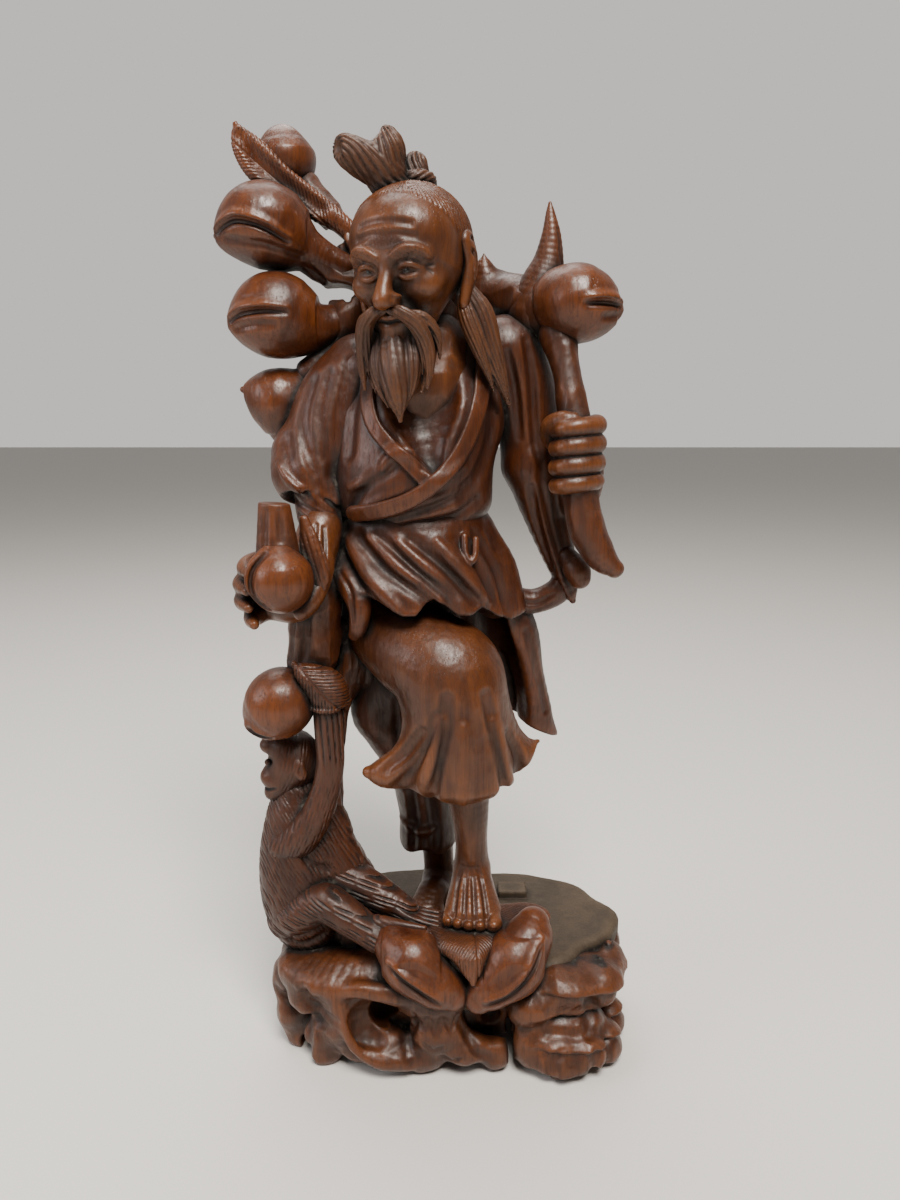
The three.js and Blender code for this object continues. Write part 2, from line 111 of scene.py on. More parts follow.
def smooth_min(a, b, soft):
    """The smaller of two distances, with a fillet about that wide where they meet."""
    if soft <= 0:
        return np.minimum(a, b)
    h = np.clip(0.5 + 0.5 * (b - a) / soft, 0, 1)
    return b + (a - b) * h - soft * h * (1 - h)


def rotation(turn):
    """The matrix of a turn given in degrees."""
    return np.array(Euler([math.radians(v) for v in turn]).to_matrix(), np.float32)


def full(ball):
    """[x, y, z, rx, ry, rz] from a ball given with one, two or three radii."""
    ball = list(ball)
    return ball + [ball[3]] * (6 - len(ball))


def curve(rows, parts):
    """Catmull-Rom points through the rows, with that many parts to a span."""
    rows = np.asarray(rows, float)
    ends = np.vstack([2 * rows[0] - rows[1], rows, 2 * rows[-1] - rows[-2]])
    ends[0, 3:], ends[-1, 3:] = rows[0, 3:], rows[-1, 3:]
    out = []
    for a, b, c, d in zip(ends, ends[1:], ends[2:], ends[3:]):
        for t in np.arange(parts) / parts:
            bend = (2 * a - 5 * b + 4 * c - d) * t**2 + (3 * b - a - 3 * c + d) * t**3
            out.append(0.5 * (2 * b + (c - a) * t + bend))
    return np.array(out + [rows[-1]])


def ellipsoid(q, r):
    """About how far outside an ellipsoid around the origin each point is."""
    k0 = np.sqrt(((q / r) ** 2).sum(1)) + 1e-6
    k1 = np.sqrt(((q / r**2) ** 2).sum(1)) + 1e-6
    return k0 * (k0 - 1) / k1


def rod(balls, turn=(0, 0, 0), parts=4, strands=None):
    """A solid that runs through balls. strands = (count, depth, turns) cuts grooves along it."""
    rows = np.array([full(b) for b in balls], float)
    if len(rows) == 1:
        rows = np.vstack([rows, rows + [0, 0, 1e-3, 0, 0, 0]])
    if len(rows) > 2 and parts > 1:
        rows = curve(rows, parts)
    rows[:, 3:] = np.maximum(rows[:, 3:], 0.2)
    frame_turn = rotation(turn)
    reach = rows[:, 3:].max(1)[:, None]
    low, high = rows[:, :3] - reach, rows[:, :3] + reach
    main = rows[-1, :3] - rows[0, :3]
    main /= np.linalg.norm(main)
    side = np.cross(main, (0, 1, 0) if abs(main[1]) < 0.8 else (1, 0, 0))
    side /= np.linalg.norm(side)
    across = np.stack([np.cross(main, side), side], 1).astype(np.float32)
    steps = np.diff(rows[:, :3], axis=0)
    inner = ((steps / np.linalg.norm(steps, axis=1)[:, None]) @ frame_turn) ** 4
    inner[[0, -1]] *= 0.0 if len(rows) == 2 else 0.5
    inner = inner.astype(np.float32)
    rows = rows.astype(np.float32)

    def how(p, margin):
        best = np.full(len(p), FAR, np.float32)
        # strand direction, place along and weight, summed over the steps
        blend = np.zeros((4, len(p)), np.float32)
        for i, (a, b) in enumerate(zip(rows, rows[1:])):
            at = inside(
                p,
                np.minimum(low[i], low[i + 1]) - margin,
                np.maximum(high[i], high[i + 1]) + margin,
            )
            if not len(at):
                continue
            ab = b[:3] - a[:3]
            q = p[at] - a[:3]
            t = np.clip((q @ ab) / (ab @ ab), 0, 1)[:, None]
            q -= t * ab
            radii = a[3:] + t * (b[3:] - a[3:])
            radii += inner[i] * (radii.max(1)[:, None] - radii)
            d = ellipsoid(q @ frame_turn, radii)
            if strands:
                weight = np.exp(-np.clip(d, -9, 9) / 0.7)
                u, v = weight * (q @ across).T / np.maximum(np.linalg.norm(q, axis=1), 1e-3)
                blend[:, at] += (u, v, weight * (i + t[:, 0]) / (len(rows) - 1), weight)
            best[at] = np.minimum(best[at], d)
        if strands:
            along = blend[2] / np.maximum(blend[3], 1e-9)
            angle = np.arctan2(blend[0], blend[1]) + strands[2] * 2 * np.pi * along
            best += strands[1] * (1 - np.abs(np.sin(angle * strands[0] / 2)))
        return best

    return Shape(low.min(0), high.max(0), how)


def ball(x, y, z, *radii, turn=(0, 0, 0)):
    """A ball, or an ellipsoid where three radii are given."""
    centre = np.array([x, y, z], np.float32)
    r = np.array(full([x, y, z, *radii])[3:], np.float32)
    frame_turn = rotation(turn)
    return Shape(
        centre - r.max(),
        centre + r.max(),
        lambda p, margin: ellipsoid((p - centre) @ frame_turn, r),
    )


def region(low, high, how):
    """The part of a box where how(points) is negative."""
    return Shape(low, high, lambda p, margin: how(p))


# direction of sight, and how two drawn numbers make a place, for each side that strokes are drawn from
SIDES = {
    "front": ((0, 1, 0), lambda u, v: (u, 0, v)),
    "back": ((0, -1, 0), lambda u, v: (u, 0, v)),
    "left": ((1, 0, 0), lambda u, v: (0, u, v)),
    "right": ((-1, 0, 0), lambda u, v: (0, u, v)),
}
# mm along the line of sight where a surface is looked for
SIGHT = np.arange(-90, 90, 0.5, dtype=np.float32)


class Carving:
    """One element: steps that add, cut or press, in the order a carver makes them."""

    def __init__(self, name, slot, pitch, stands_for=None):
        self.name, self.slot, self.pitch = name, slot, pitch
        self.stands_for = stands_for or [name]
        self.steps = []

    def add(self, *shapes, soft=0.0):
        self.steps += [("add", soft, shape) for shape in shapes]

    def cut(self, *shapes, soft=0.0):
        self.steps += [("cut", soft, shape) for shape in shapes]

    def keep(self, how, soft=0.0):
        """Cuts away everything where how(points) is positive."""
        self.cut(region(*EVERYWHERE, lambda p: -how(p)), soft=soft)

    def press(self, how, low=EVERYWHERE[0], high=EVERYWHERE[1]):
        """Sinks the surface by how(points) mm, or raises it where that is negative."""
        self.steps.append(("press", 0.0, region(low, high, how)))

    def box(self):
        added = [shape for kind, _, shape in self.steps if kind == "add"]
        return np.min([shape.low for shape in added], 0), np.max([shape.high for shape in added], 0)

    def field(self, p, reach):
        """The distance of each point to the surface, right up to that reach."""
        d = np.full(len(p), FAR, np.float32)
        for kind, soft, shape in self.steps:
            margin = soft + reach
            at = inside(p, shape.low - margin, shape.high + margin)
            if not len(at):
                continue
            q, old = p[at], d[at]
            new = shape.how(q, margin)
            if kind == "press":
                d[at] = old + np.where(old < FAR / 2, new, 0)
            elif kind == "add":
                d[at] = smooth_min(old, new, soft)
            else:
                d[at] = -smooth_min(-old, new, soft)
        return d

    def snap(self, points, look):
        """Moves each point along look until it meets the surface."""
        p = np.array(points, np.float32)[:, None, :] + SIGHT[:, None] * look
        d = self.field(p.reshape(-1, 3), 3.0).reshape(len(points), -1)
        first = np.argmax(d < 0, axis=1)
        missed = ~(d < 0).any(axis=1)
        first[missed] = np.argmin(d[missed], axis=1)
        first = np.maximum(first, 1)
        rows = np.arange(len(points))
        after, before = d[rows, first], d[rows, first - 1]
        share = np.where(missed, 0, after / np.minimum(after - before, -1e-3))
        return p[rows, first] - np.clip(share, 0, 1)[:, None] * (SIGHT[1] - SIGHT[0]) * look

    def strokes(self, kind, paths, width, depth, side="front", soft=0.8, ends=0.25):
        """Cuts grooves or adds ridges along paths drawn on the surface as seen from one side."""
        look, place = SIDES[side]
        look = np.array(look, np.float32)
        made = []
        for path in paths:
            rows = curve([[u, v, 0, 0] for u, v in path], 4) if len(path) > 2 else np.linspace(*path, 7)
            on = self.snap([place(*row[:2]) for row in rows], look)
            share = ends + (1 - ends) * np.sin(np.linspace(0, np.pi, len(on))) ** 0.6
            if kind == "cut":  # the tool keeps its width and rises out of the wood at both ends
                radii = np.full(len(on), width / 2)
                rise = width / 2 - depth * share
            else:
                radii = width / 2 * share
                rise = (depth - width / 2) * share
            made.append(rod(np.column_stack([on - rise[:, None] * look, radii]), parts=1))
        getattr(self, kind)(*made, soft=soft)


LUMPS = np.random.default_rng(7).uniform(-1, 1, (32, 32, 32)).astype(np.float32)


def stretch(p, *factors):
    """The points scaled along x, y and z, so that a pattern laid over them is drawn out."""
    return p * np.array(factors, np.float32)


def noise(p, size, seed):
    """Smooth noise from -1 to 1, with lumps of that size in mm."""
    q = p / size + seed * 17.3
    cell = np.floor(q).astype(np.int64)
    f = (q - cell).astype(np.float32)
    f = f * f * (3 - 2 * f)
    total = np.zeros(len(p), np.float32)
    for corner in np.ndindex(2, 2, 2):
        x, y, z = ((cell + corner) & 31).T
        total += LUMPS[x, y, z] * np.where(corner, f, 1 - f).prod(1)
    return total


def scoops(p, size, seed):
    """0 to 1: shallow gouge marks about that size in mm, which meet in low ridges where this is 0."""
    q = (p / size + seed * 5.7).astype(np.float32)
    cell = np.floor(q - 0.5).astype(np.int64)
    nearest = np.full(len(p), 9.0, np.float32)
    for corner in np.ndindex(2, 2, 2):
        x, y, z = ((cell + corner) & 31).T
        shift = np.stack([LUMPS[x, y, z], LUMPS[y, z, x], LUMPS[z, x, y]], 1)
        away = q - (cell + corner).astype(np.float32) - 0.5 - 0.3 * shift
        nearest = np.minimum(nearest, (away**2).sum(1))
    return np.clip(1 - nearest / 0.6, 0, 1)


def lines(p, across, pitch, wander=0.0, seed=1):
    """0 to 1: sharp parallel grooves a pitch apart, counted along the across direction."""
    s = p @ np.array(across, np.float32)
    if wander:
        s = s + wander * noise(p, pitch * 6, seed)
    return (1 - np.abs(np.sin(np.pi * s / pitch))) ** 2


def hatch(p, along, across, pitch, length, seed):
    """0 to 1: short pointed cuts, as for fur, that run along one direction."""
    s = p @ np.array(along, np.float32) / length
    t = p @ np.array(across, np.float32) / pitch + 0.35 * noise(p, pitch * 5, seed)
    row = np.floor(t).astype(np.int64)
    s = s + ((row * 2654435761) & 0xFFFF) / 65535 * 3.7
    bit = np.floor(s).astype(np.int64)
    present = ((bit * 40503 + row * 30011) & 0xFF) > 70
    profile = 1 - np.abs(2 * (t - row) - 1)
    fade = np.abs(np.sin(np.pi * (s - bit))) ** 0.7
    return (present * fade * np.maximum(profile * 1.6 - 0.6, 0)).astype(np.float32)


def within(p, centre, radii, edge=0.35):
    """1 inside an ellipsoid, fading to 0 at its rim."""
    k = np.sqrt((((p - np.array(centre, np.float32)) / np.array(radii, np.float32)) ** 2).sum(1))
    return np.clip((1 - k) / edge, 0, 1)


def box_points(counts):
    """Every index of a box of that many steps, as rows."""
    return np.stack(np.meshgrid(*[np.arange(n) for n in counts], indexing="ij"), -1).reshape(-1, 3)


def grid_mesh(carving):
    """The closed surface of a carving: points in drawn mm, and quads."""
    pitch = carving.pitch
    band = 3 * pitch
    cell = CELL * pitch
    low, high = carving.box()
    low = low - 2.5 * pitch
    counts = np.ceil((high - low + band) / cell).astype(int)
    index = box_points(counts)
    middle = (low + (index * CELL + (CELL - 1) / 2) * pitch).astype(np.float32)
    rough = carving.field(middle, 3 * cell)
    grid = np.where(rough < 0, -band, band).astype(np.float32).reshape(counts)
    for axis in range(3):
        grid = np.repeat(grid, CELL, axis)
    active = index[np.abs(rough) < 1.5 * cell]
    inner = box_points([CELL] * 3)
    for start in range(0, len(active), 8000):
        at = (active[start : start + 8000, None] * CELL + inner).reshape(-1, 3)
        d = carving.field((low + at * pitch).astype(np.float32), band)
        grid[tuple(at.T)] = np.clip(d, -band, band)
    for axis in range(3):
        edge = [slice(None)] * 3
        for edge[axis] in (0, -1):
            grid[tuple(edge)] = band
    volume = openvdb.FloatGrid(background=band)
    volume.copyFromArray(grid)
    points, quads = volume.convertToQuads(0.0)
    return (low + points * pitch).astype(np.float32), quads.astype(np.int32)


def point_normals(points, quads):
    """Outward directions at the points."""
    a, b, c, d = (points[quads[:, k]] for k in range(4))
    faces = np.cross(c - a, d - b)
    total = np.zeros_like(points)
    for axis in range(3):
        for k in range(4):
            total[:, axis] += np.bincount(quads[:, k], faces[:, axis], len(points))
    return total / (np.linalg.norm(total, axis=1)[:, None] + 1e-9)


def share_out(form, seeds, lap=3.0, reach=26.0):
    """Splits a form among named elements: each takes what lies nearest its seeds, and they overlap."""
    places = np.array([place for group in seeds.values() for place in group], np.float32)
    owners = np.repeat(list(seeds), [len(group) for group in seeds.values()])
    form_low, form_high = form.box()
    for name, group in seeds.items():

        def how(p, margin, own=owners == name):
            away = np.sqrt(((p[:, None, :] - places) ** 2).sum(2))
            beyond = (away[:, own].min(1) - away[:, ~own].min(1)) / 2
            d = beyond - lap
            at = np.flatnonzero(d < margin)
            d[at] = np.maximum(d[at], form.field(p[at], margin) + 0.35 * np.clip(beyond[at], 0, None))
            return d

        low = np.maximum(np.min(group, 0) - reach, form_low)
        high = np.minimum(np.max(group, 0) + reach, form_high)
        element(name, form.slot, form.pitch).add(Shape(low, high, how))


class Surroundings:
    """How much wood there is around any place: a blurred grid of the whole figurine."""

    def __init__(self, everything, blur):
        boxes = [carving.box() for carving in everything]
        self.low = np.min([box[0] for box in boxes], 0) - 8
        counts = np.ceil(
            (np.max([box[1] for box in boxes], 0) + 8 - self.low) / NEIGHBOUR_PITCH
        ).astype(int)
        self.grid = np.zeros(counts, np.float32)
        for carving, (low, high) in zip(everything, boxes):
            first = np.floor((low - self.low) / NEIGHBOUR_PITCH).astype(int)
            size = np.ceil((high - self.low) / NEIGHBOUR_PITCH).astype(int) - first + 1
            at = first + box_points(size)
            d = carving.field((self.low + at * NEIGHBOUR_PITCH).astype(np.float32), NEIGHBOUR_PITCH)
            filled = np.clip(0.5 - d / NEIGHBOUR_PITCH, 0, 1)
            at = tuple(at.T)
            self.grid[at] = np.maximum(self.grid[at], filled)
        width = 2 * round(blur / NEIGHBOUR_PITCH / 2) + 1
        for axis in (0, 1, 2) * 2:
            shifts = range(-(width // 2), width // 2 + 1)
            self.grid = sum(np.roll(self.grid, shift, axis) for shift in shifts) / width

    def share(self, points):
        """0 in open air to 1 deep in the wood."""
        q = (points - self.low) / NEIGHBOUR_PITCH
        cell = np.floor(q).astype(np.int64)
        f = (q - cell).astype(np.float32)
        total = np.zeros(len(points), np.float32)
        for corner in np.ndindex(2, 2, 2):
            at = tuple((cell + corner).T)
            total += self.grid[at] * np.where(corner, f, 1 - f).prod(1)
        return total


def carve(carving, surroundings):
    """Points, quads, and two marks for each point: how shut in by wood it is, for painted shade and the
    patina of the hollows, and how open and sharp it is, for painted light and wear on the ridges.
    """
    points, quads = grid_mesh(carving)
    normals = point_normals(points, quads)
    around = surroundings.share(points + normals * 1.2)
    groove = 1 - carving.field((points + normals * 0.8).astype(np.float32), 1.0).clip(-1, 0.8) / 0.8
    ridge = 1 + carving.field((points - normals * 1.0).astype(np.float32), 1.0).clip(-1, 1) / 1.0
    marks = {
        # hollow: painted shade where much wood stands close around and in narrow grooves, and the patina
        # there
        "hollow": np.clip(np.maximum((around - 0.34) / 0.36, groove * 0.9), 0, 1),
        # painted light where the point stands open to the air, and wear on sharp ridges
        "worn_and_lit": np.clip((0.30 - around) / 0.22, 0, 1) * 0.7 + np.clip(ridge, 0, 1) * 0.8,
    }
    return points, quads, marks


def build(carving, points, quads, marks):
    """The Blender object of a carving."""
    mesh = bpy.data.meshes.new(carving.name)
    mesh.vertices.add(len(points))
    mesh.vertices.foreach_set("co", (points * MM + ORIGIN).astype(np.float32).ravel())
    mesh.loops.add(quads.size)
    mesh.loops.foreach_set("vertex_index", quads.ravel())
    mesh.polygons.add(len(quads))
    mesh.polygons.foreach_set("loop_start", np.arange(0, quads.size, 4, dtype=np.int32))
    mesh.polygons.foreach_set("use_smooth", np.ones(len(quads), bool))
    mesh.update(calc_edges=True)
    for name, values in marks.items():
        mesh.attributes.new(name, "FLOAT", "POINT").data.foreach_set("value", values.astype(np.float32))
    piece = bpy.data.objects.new(carving.name, mesh)
    bpy.context.scene.collection.objects.link(piece)
    return piece

# ---------------------------------------------------------------- the elements

carvings = []


def element(name, slot, pitch=MEDIUM, stands_for=None):
    carving = Carving(name, slot, pitch, stands_for)
    carvings.append(carving)
    return carving


def posed(local, centre, turn):
    """A carving made about its own origin, turned and moved into place."""
    m = rotation(turn)
    centre = np.array(centre, np.float32)
    low, high = local.box()
    corners = np.array(
        [[x, y, z] for x in (low[0], high[0]) for y in (low[1], high[1]) for z in (low[2], high[2])]
    )
    corners = corners @ m.T + centre
    return Shape(
        corners.min(0),
        corners.max(0),
        lambda p, margin: local.field((p - centre) @ m, margin),
    )


# ---- peaches


def peach(name, body, runs, cleft, lip=None):
    """A round fruit drawn out to a point and to its stem, with the cleft that runs from the point."""
    p = element(name, "peach")
    p.add(rod([body]))
    p.add(*[rod(run) for run in runs], soft=6)
    if cleft:
        p.strokes("add", [[(x, z + 1.5) for x, z in cleft]], 3.6, 0.9, soft=2.0)
        p.strokes("cut", [cleft], 2.6, 1.6, soft=0.9)
        p.strokes("cut", [cleft], 1.0, 0.7, soft=0.3)
    if lip:
        p.strokes("cut", [lip], 2.0, 0.7, soft=1.4)
    p.press(lambda q: 0.08 * noise(q, 6.0, 3) + 0.12 * scoops(q, 6.5, 9))
    return p


peach(
    "upper_peach",
    [-60, 8, 275.3, 13.6, 13.4, 12.6],
    [
        [[-62, 7, 273.6, 8], [-69, 6.3, 271.6, 5], [-74.2, 6, 271, 1.2]],
        [[-55, 9, 272.4, 11], [-48.6, 10, 268.6, 7.6], [-42, 11.4, 265.4, 5.8], [-35, 13, 262.4, 5]],
    ],
    [(-73.6, 271), (-68.4, 273.2), (-64.4, 273.4), (-57.7, 271.5), (-50.4, 267.7)],
    [(-70.4, 269), (-64, 267.6), (-56, 266.4), (-47, 264)],
)
peach(
    "middle_peach",
    [-57, 6, 247, 13.2, 13.2, 13.2],
    [
        [[-60, 5, 246, 8], [-66, 4.3, 244.6, 4.6], [-70.6, 4, 244, 1.2]],
        [[-53, 7, 246.4, 11.2], [-47, 8.6, 243.6, 8.8], [-41, 10.6, 243.6, 7.2], [-33, 13, 245.6, 6.4]],
    ],
    [(-70, 244.2), (-66, 245.8), (-62.9, 246.3), (-57.1, 246.6), (-50.8, 246.2)],
    [(-68.6, 241.8), (-62, 242.6), (-55, 242.6)],
)
peach("lower_peach", [-56.6, 10, 220.6, 9.6, 10.4, 9.2], [
    [[-59, 9.5, 221.4, 7], [-64, 8.8, 222.8, 4], [-68.4, 8, 223.5, 1.2]],
    [[-55, 10, 216, 8.6], [-52.4, 8, 208, 6], [-49.6, 5, 199, 4]],
    [[-51, 10, 224, 5], [-48.4, 10, 227, 3]],
], None)
peach(
    "top_peach",
    [-54.3, 21, 296.6, 9.6, 10, 10],
    [[[-54.3, 21, 299, 7.8], [-54.8, 21, 303, 3.6]]],
    None,
)
peach(
    "shoulder_peach",
    [38.6, -6, 249, 11.8, 11.8, 11.8],
    [[
        [42, -6.5, 248.6, 9], [48, -7.5, 247.4, 5.4], [51.4, -8, 247, 2.2],
    ], [[33, -2, 250, 8], [28, 2, 250, 6]]],
    [(52.4, 247.4), (49, 247.9), (45, 247.9), (41, 247.6)],
    [(52.6, 244.8), (47, 243.8)],
)
peach(
    "offered_peach",
    [-50.4, -33, 166.3, 9.8, 10, 9.6],
    [[[-50.6, -33, 170, 6], [-51, -32.6, 175, 3]]],
    [(-54.4, 175), (-58, 170), (-58.2, 164), (-54, 158.4)],
)
peach("monkey_peach", [-54.5, -20, 124.6, 11.2, 11.2, 11.4], [
    [[-58, -19.4, 121, 7.4], [-62, -18.6, 117, 3.6], [-63.4, -18, 114.6, 1.2]],
], [(-64.6, 117.6), (-62, 115.6), (-57, 114)])
peach("base_left_peach", [-12.5, -34, 42, 8.6, 8.6, 8.6], [
    [[-14, -33.6, 43.4, 8.4], [-17.4, -31.8, 45.4, 7.4], [-20, -30.4, 46.6, 5.6]],
    [[-10, -35, 40.4, 9], [-4.6, -37, 36, 8.4], [0.6, -38, 32.6, 5.6]],
], [(-19.6, 44.4), (-12, 38.6), (-3.6, 32.6)])
peach("base_right_peach", [20.5, -34, 41.5, 8.8, 8.6, 8.8], [
    [[22, -33.4, 43.6, 8.8], [25.6, -30.8, 47.4, 8.0], [27.2, -28.6, 51, 5.8]],
    [[19, -35, 39, 9], [14, -37, 35.4, 8], [9.4, -38, 31.6, 5.6]],
], [(11.6, 32), (19, 35.6), (25.6, 42.6), (29.6, 49.6)])

# ---- branch

handle = element("branch_handle", "branch")
handle.add(rod([
    [33.6, -6, 240, 6], [36, -10.5, 229, 4.6], [38.4, -14, 214, 5.0], [40, -15.5, 200, 5.6],
    [41, -16, 188, 5.8], [43.6, -17, 179, 5.8], [47.6, -18, 171.5, 5.0], [51.5, -18.5, 168, 3.4],
]))
handle.press(
    lambda q: 0.25 * noise(
        stretch(q, 1, 1, 0.25),
        3.5,
        5,
    ) + 0.35 * scoops(stretch(q, 1, 1, 0.5), 4.5, 8)
)
thorn = element("branch_thorn", "branch")
thorn.add(rod([
    [27, 3, 247, 8.6], [29, 2.6, 255, 7], [31, 2.2, 262, 5], [31.8, 2, 270, 3.2], [31.4, 2, 277, 1.5],
    [31.2, 2, 280, 0.6],
]))
thorn.strokes("cut", [[(34, 272), (35, 263), (37, 255)]], 1.2, 0.4)
back = element("branch_behind_neck", "branch")
back.add(rod([
    [32, -2, 247, 7], [24, 9, 253, 6.5], [14, 17, 254.5, 6.5], [0, 20, 256, 6.8], [-18, 19, 257, 7],
    [-34, 15, 256, 7],
]))
back.add(
    rod([[-30, 16, 257, 6.5], [-38, 13.5, 261, 6], [-45, 11, 266, 6.5], [-52, 9, 271, 7]]),
    rod([[-28, 17, 260, 6], [-33, 16, 270, 4.6], [-39, 17, 279, 4.6], [-47, 20, 288, 5.5]]),
    rod([[-28, 15, 251, 6.5], [-36, 12, 245.5, 6], [-42, 10, 244.4, 5]]),
    rod([[-33, 12, 247, 6], [-39, 11, 236, 4.5], [-46, 10, 229, 5.5]]),
    rod([[12, 15, 255, 7], [11.4, 12, 260, 4.6], [11, 10, 266.4, 0.8]]),
    rod([[28, 2, 248, 8], [20, 9, 252, 7.4], [13, 14, 253.6, 7]]),
    soft=4,
)
back.cut(ball(-37.5, 16, 273.6, 3.0, 30, 3.4), ball(-36.6, 13, 254.6, 5.4, 30, 2.2), soft=1.5)
back.press(
    lambda q: 0.3 * noise(stretch(q, 0.5, 1, 1), 4.5, 6) + 0.5 * scoops(stretch(q, 0.6, 1, 1), 5.5, 7)
)
back.strokes("cut", [
    [(-47, 263), (-40, 257), (-33, 252)], [(-49, 270.5), (-42, 266), (-34, 261)],
    [(-36, 272), (-32, 263)],
], 2.0, 0.9)
back.strokes("cut", [[(26, 252), (18, 256), (8, 257)], [(20, 249), (10, 251)]], 2.0, 0.8, "back")
leaf = element("branch_leaf", "peach", FINE)
leaf.add(rod(
    [
        [-67.6, 9.4, 305, 0.8, 0.8, 1], [-66.2, 9.8, 301, 2.0, 2.0, 3.4],
        [-63.4, 10.2, 297, 2.4, 2.4, 5.2], [-60, 10.4, 293, 2.6, 2.6, 5.8],
        [-54.6, 11.2, 288.4, 2.8, 2.8, 5.4], [-48, 12.4, 284.4, 2.8, 2.8, 4.6],
        [-42, 13.4, 280.4, 2.8, 2.8, 4.2], [-36, 14, 276.5, 2.6, 2.6, 3.6],
        [-30, 15, 271, 2.6, 2.6, 3.2],
    ],
    turn=(0, 40, 0),
))
leaf.cut(rod([
    [-65.6, 7, 301.4, 2.0], [-60.6, 6.8, 294, 3.2], [-52, 8, 287, 3.0], [-42, 10, 280.6, 2.2],
]), soft=2.0)
LEAF_ALONG, LEAF_ACROSS = (-0.766, 0, 0.643), (0.643, 0, 0.766)


def veins(mid, along, across, pitch, depth, slope=0.7):
    """Cuts a midrib and slanting side veins into a leaf."""
    along, across = np.array(along, np.float32), np.array(across, np.float32)

    def how(p):
        q = p - np.array(mid, np.float32)
        v = np.abs(q @ across)
        u = q @ along - slope * v
        side = (1 - np.abs(np.sin(np.pi * u / pitch))) ** 1.5 * np.clip(v / 0.8, 0, 1)
        return depth * np.maximum(side * 0.8, np.exp(-((v / 0.45) ** 2)))

    return how


leaf.press(veins((-55.4, 11, 288.6), LEAF_ALONG, LEAF_ACROSS, 1.6, 0.34, slope=1.2))

# ---- head, in its own frame: chin at -23, crown at +23, the face towards -y

skull = Carving("skull", "skin", FINE)
skull.add(ball(0, 2.5, 6, 17.4, 19.5, 17.2))
skull.add(
    ball(0, -7, 8, 14.5, 11, 11.5),
    rod([[0, -3, -2, 15.2, 15, 12], [0, -8.5, -14.5, 9.5, 9.5, 7.5]], parts=1),
    soft=5,
)
skull.add(ball(8.8, -12.2, -4.5, 5, 4.6, 4.2), ball(-8.8, -12.2, -4.5, 5, 4.6, 4.2), soft=4)
for s in (-1, 1):
    skull.cut(ball(s * 6.3, -20.8, 0.2, 4.6, 3.6, 2.8), soft=3)
    skull.add(ball(s * 6.1, -14.6, -0.5, 3.3, 2.9, 2.8), soft=0.3)
    skull.add(rod([
        [s * 2.6, -18.2, 3.4, 1.7],
        [s * 6.4, -17.6, 4.6, 1.9],
        [s * 10.6, -14.2, 3.6, 1.5],
    ]), soft=2.5)
    skull.add(rod([
        [s * 2.8, -16.8, -0.7, 0.7],
        [s * 4.8, -18.0, 1.15, 0.85],
        [s * 7.6, -17.8, 1.25, 0.85],
        [s * 10.2, -14.8, -0.6, 0.7],
    ]), soft=0.7)
    skull.add(rod([
        [s * 3.0, -16.8, -1.0, 0.7],
        [s * 5.2, -17.6, -2.2, 0.8],
        [s * 7.8, -17.0, -2.1, 0.8],
        [s * 10.0, -14.8, -0.8, 0.6],
    ]), soft=1.0)
    skull.add(ball(s * 2.9, -19.8, -8.0, 2.2, 2.8, 1.9), soft=1.6)
skull.add(rod([
    [0, -16.6, 3.2, 2.2], [0, -18.9, -1.5, 2.1], [0, -21.4, -5.5, 2.5], [0, -22.4, -7.6, 2.8],
]), soft=2.2)
skull.cut(ball(1.7, -21.4, -9.9, 1.1, 1.2, 0.7), ball(-1.7, -21.4, -9.9, 1.1, 1.2, 0.7), soft=0.5)
skull.add(ball(0, -15.4, -12.6, 6.0, 3.6, 3.6), soft=2.5)
skull.add(
    rod([
        [-4.6, -17.0, -13.3, 0.7], [-1.6, -19.2, -12.5, 1.1], [0, -19.3, -12.8, 1.0],
        [1.6, -19.2, -12.5, 1.1], [4.6, -17.0, -13.3, 0.7],
    ]),
    rod([[-3.6, -17.4, -14.6, 0.8], [0, -18.7, -15.2, 1.35], [3.6, -17.4, -14.6, 0.8]]),
    soft=1.0,
)
skull.strokes("cut", [
    [(-4.9, -13.8), (-1.8, -13.6), (0, -13.9), (1.8, -13.6), (4.9, -13.8)],
], 0.9, 0.7, soft=0.3)
skull.add(ball(0, -16.2, -19.6, 4.6, 3.6, 3.4), soft=3)
skull.strokes("cut", [
    [(3.9, -7.6), (6.2, -10.4), (6.9, -13.8)], [(-3.9, -7.6), (-6.2, -10.4), (-6.9, -13.8)],
], 1.8, 0.55, soft=1.6)
skull.strokes("cut", [
    [(-9, 8.6), (-4, 9.7), (0, 9.4), (4, 9.7), (9, 8.6)],
    [(-8, 12.0), (-3, 12.9), (3, 12.9), (8, 12.0)],
], 1.5, 0.38, soft=1.4)
skull.strokes("cut", [
    [(11.2, -0.2), (12.6, -1.4)], [(11.2, 0.6), (12.9, 0.6)], [(-11.2, -0.2), (-12.6, -1.4)],
    [(-11.2, 0.6), (-12.9, 0.6)],
], 0.8, 0.3, soft=0.4)
skull.strokes(
    "add",
    [[(s * 2.4, 3.9), (s * 6.2, 5.6), (s * 10.4, 4.9), (s * 12.4, 2.6)] for s in (-1, 1)],
    2.6,
    0.75,
    soft=0.8,
)


def brow_hair(q):
    s = np.sign(q[:, 0])
    across = q[:, 2] * 0.8 + np.abs(q[:, 0]) * 0.55
    mask = sum(within(q, (side * 6.6, -17, 4.6), (6.4, 5, 1.9), 0.3) for side in (1, -1))
    return 0.35 * mask * (1 - np.abs(np.sin(np.pi * across / 0.75))) ** 2 * np.abs(s)


skull.press(brow_hair, (-14, -22, 1), (14, -10, 8))


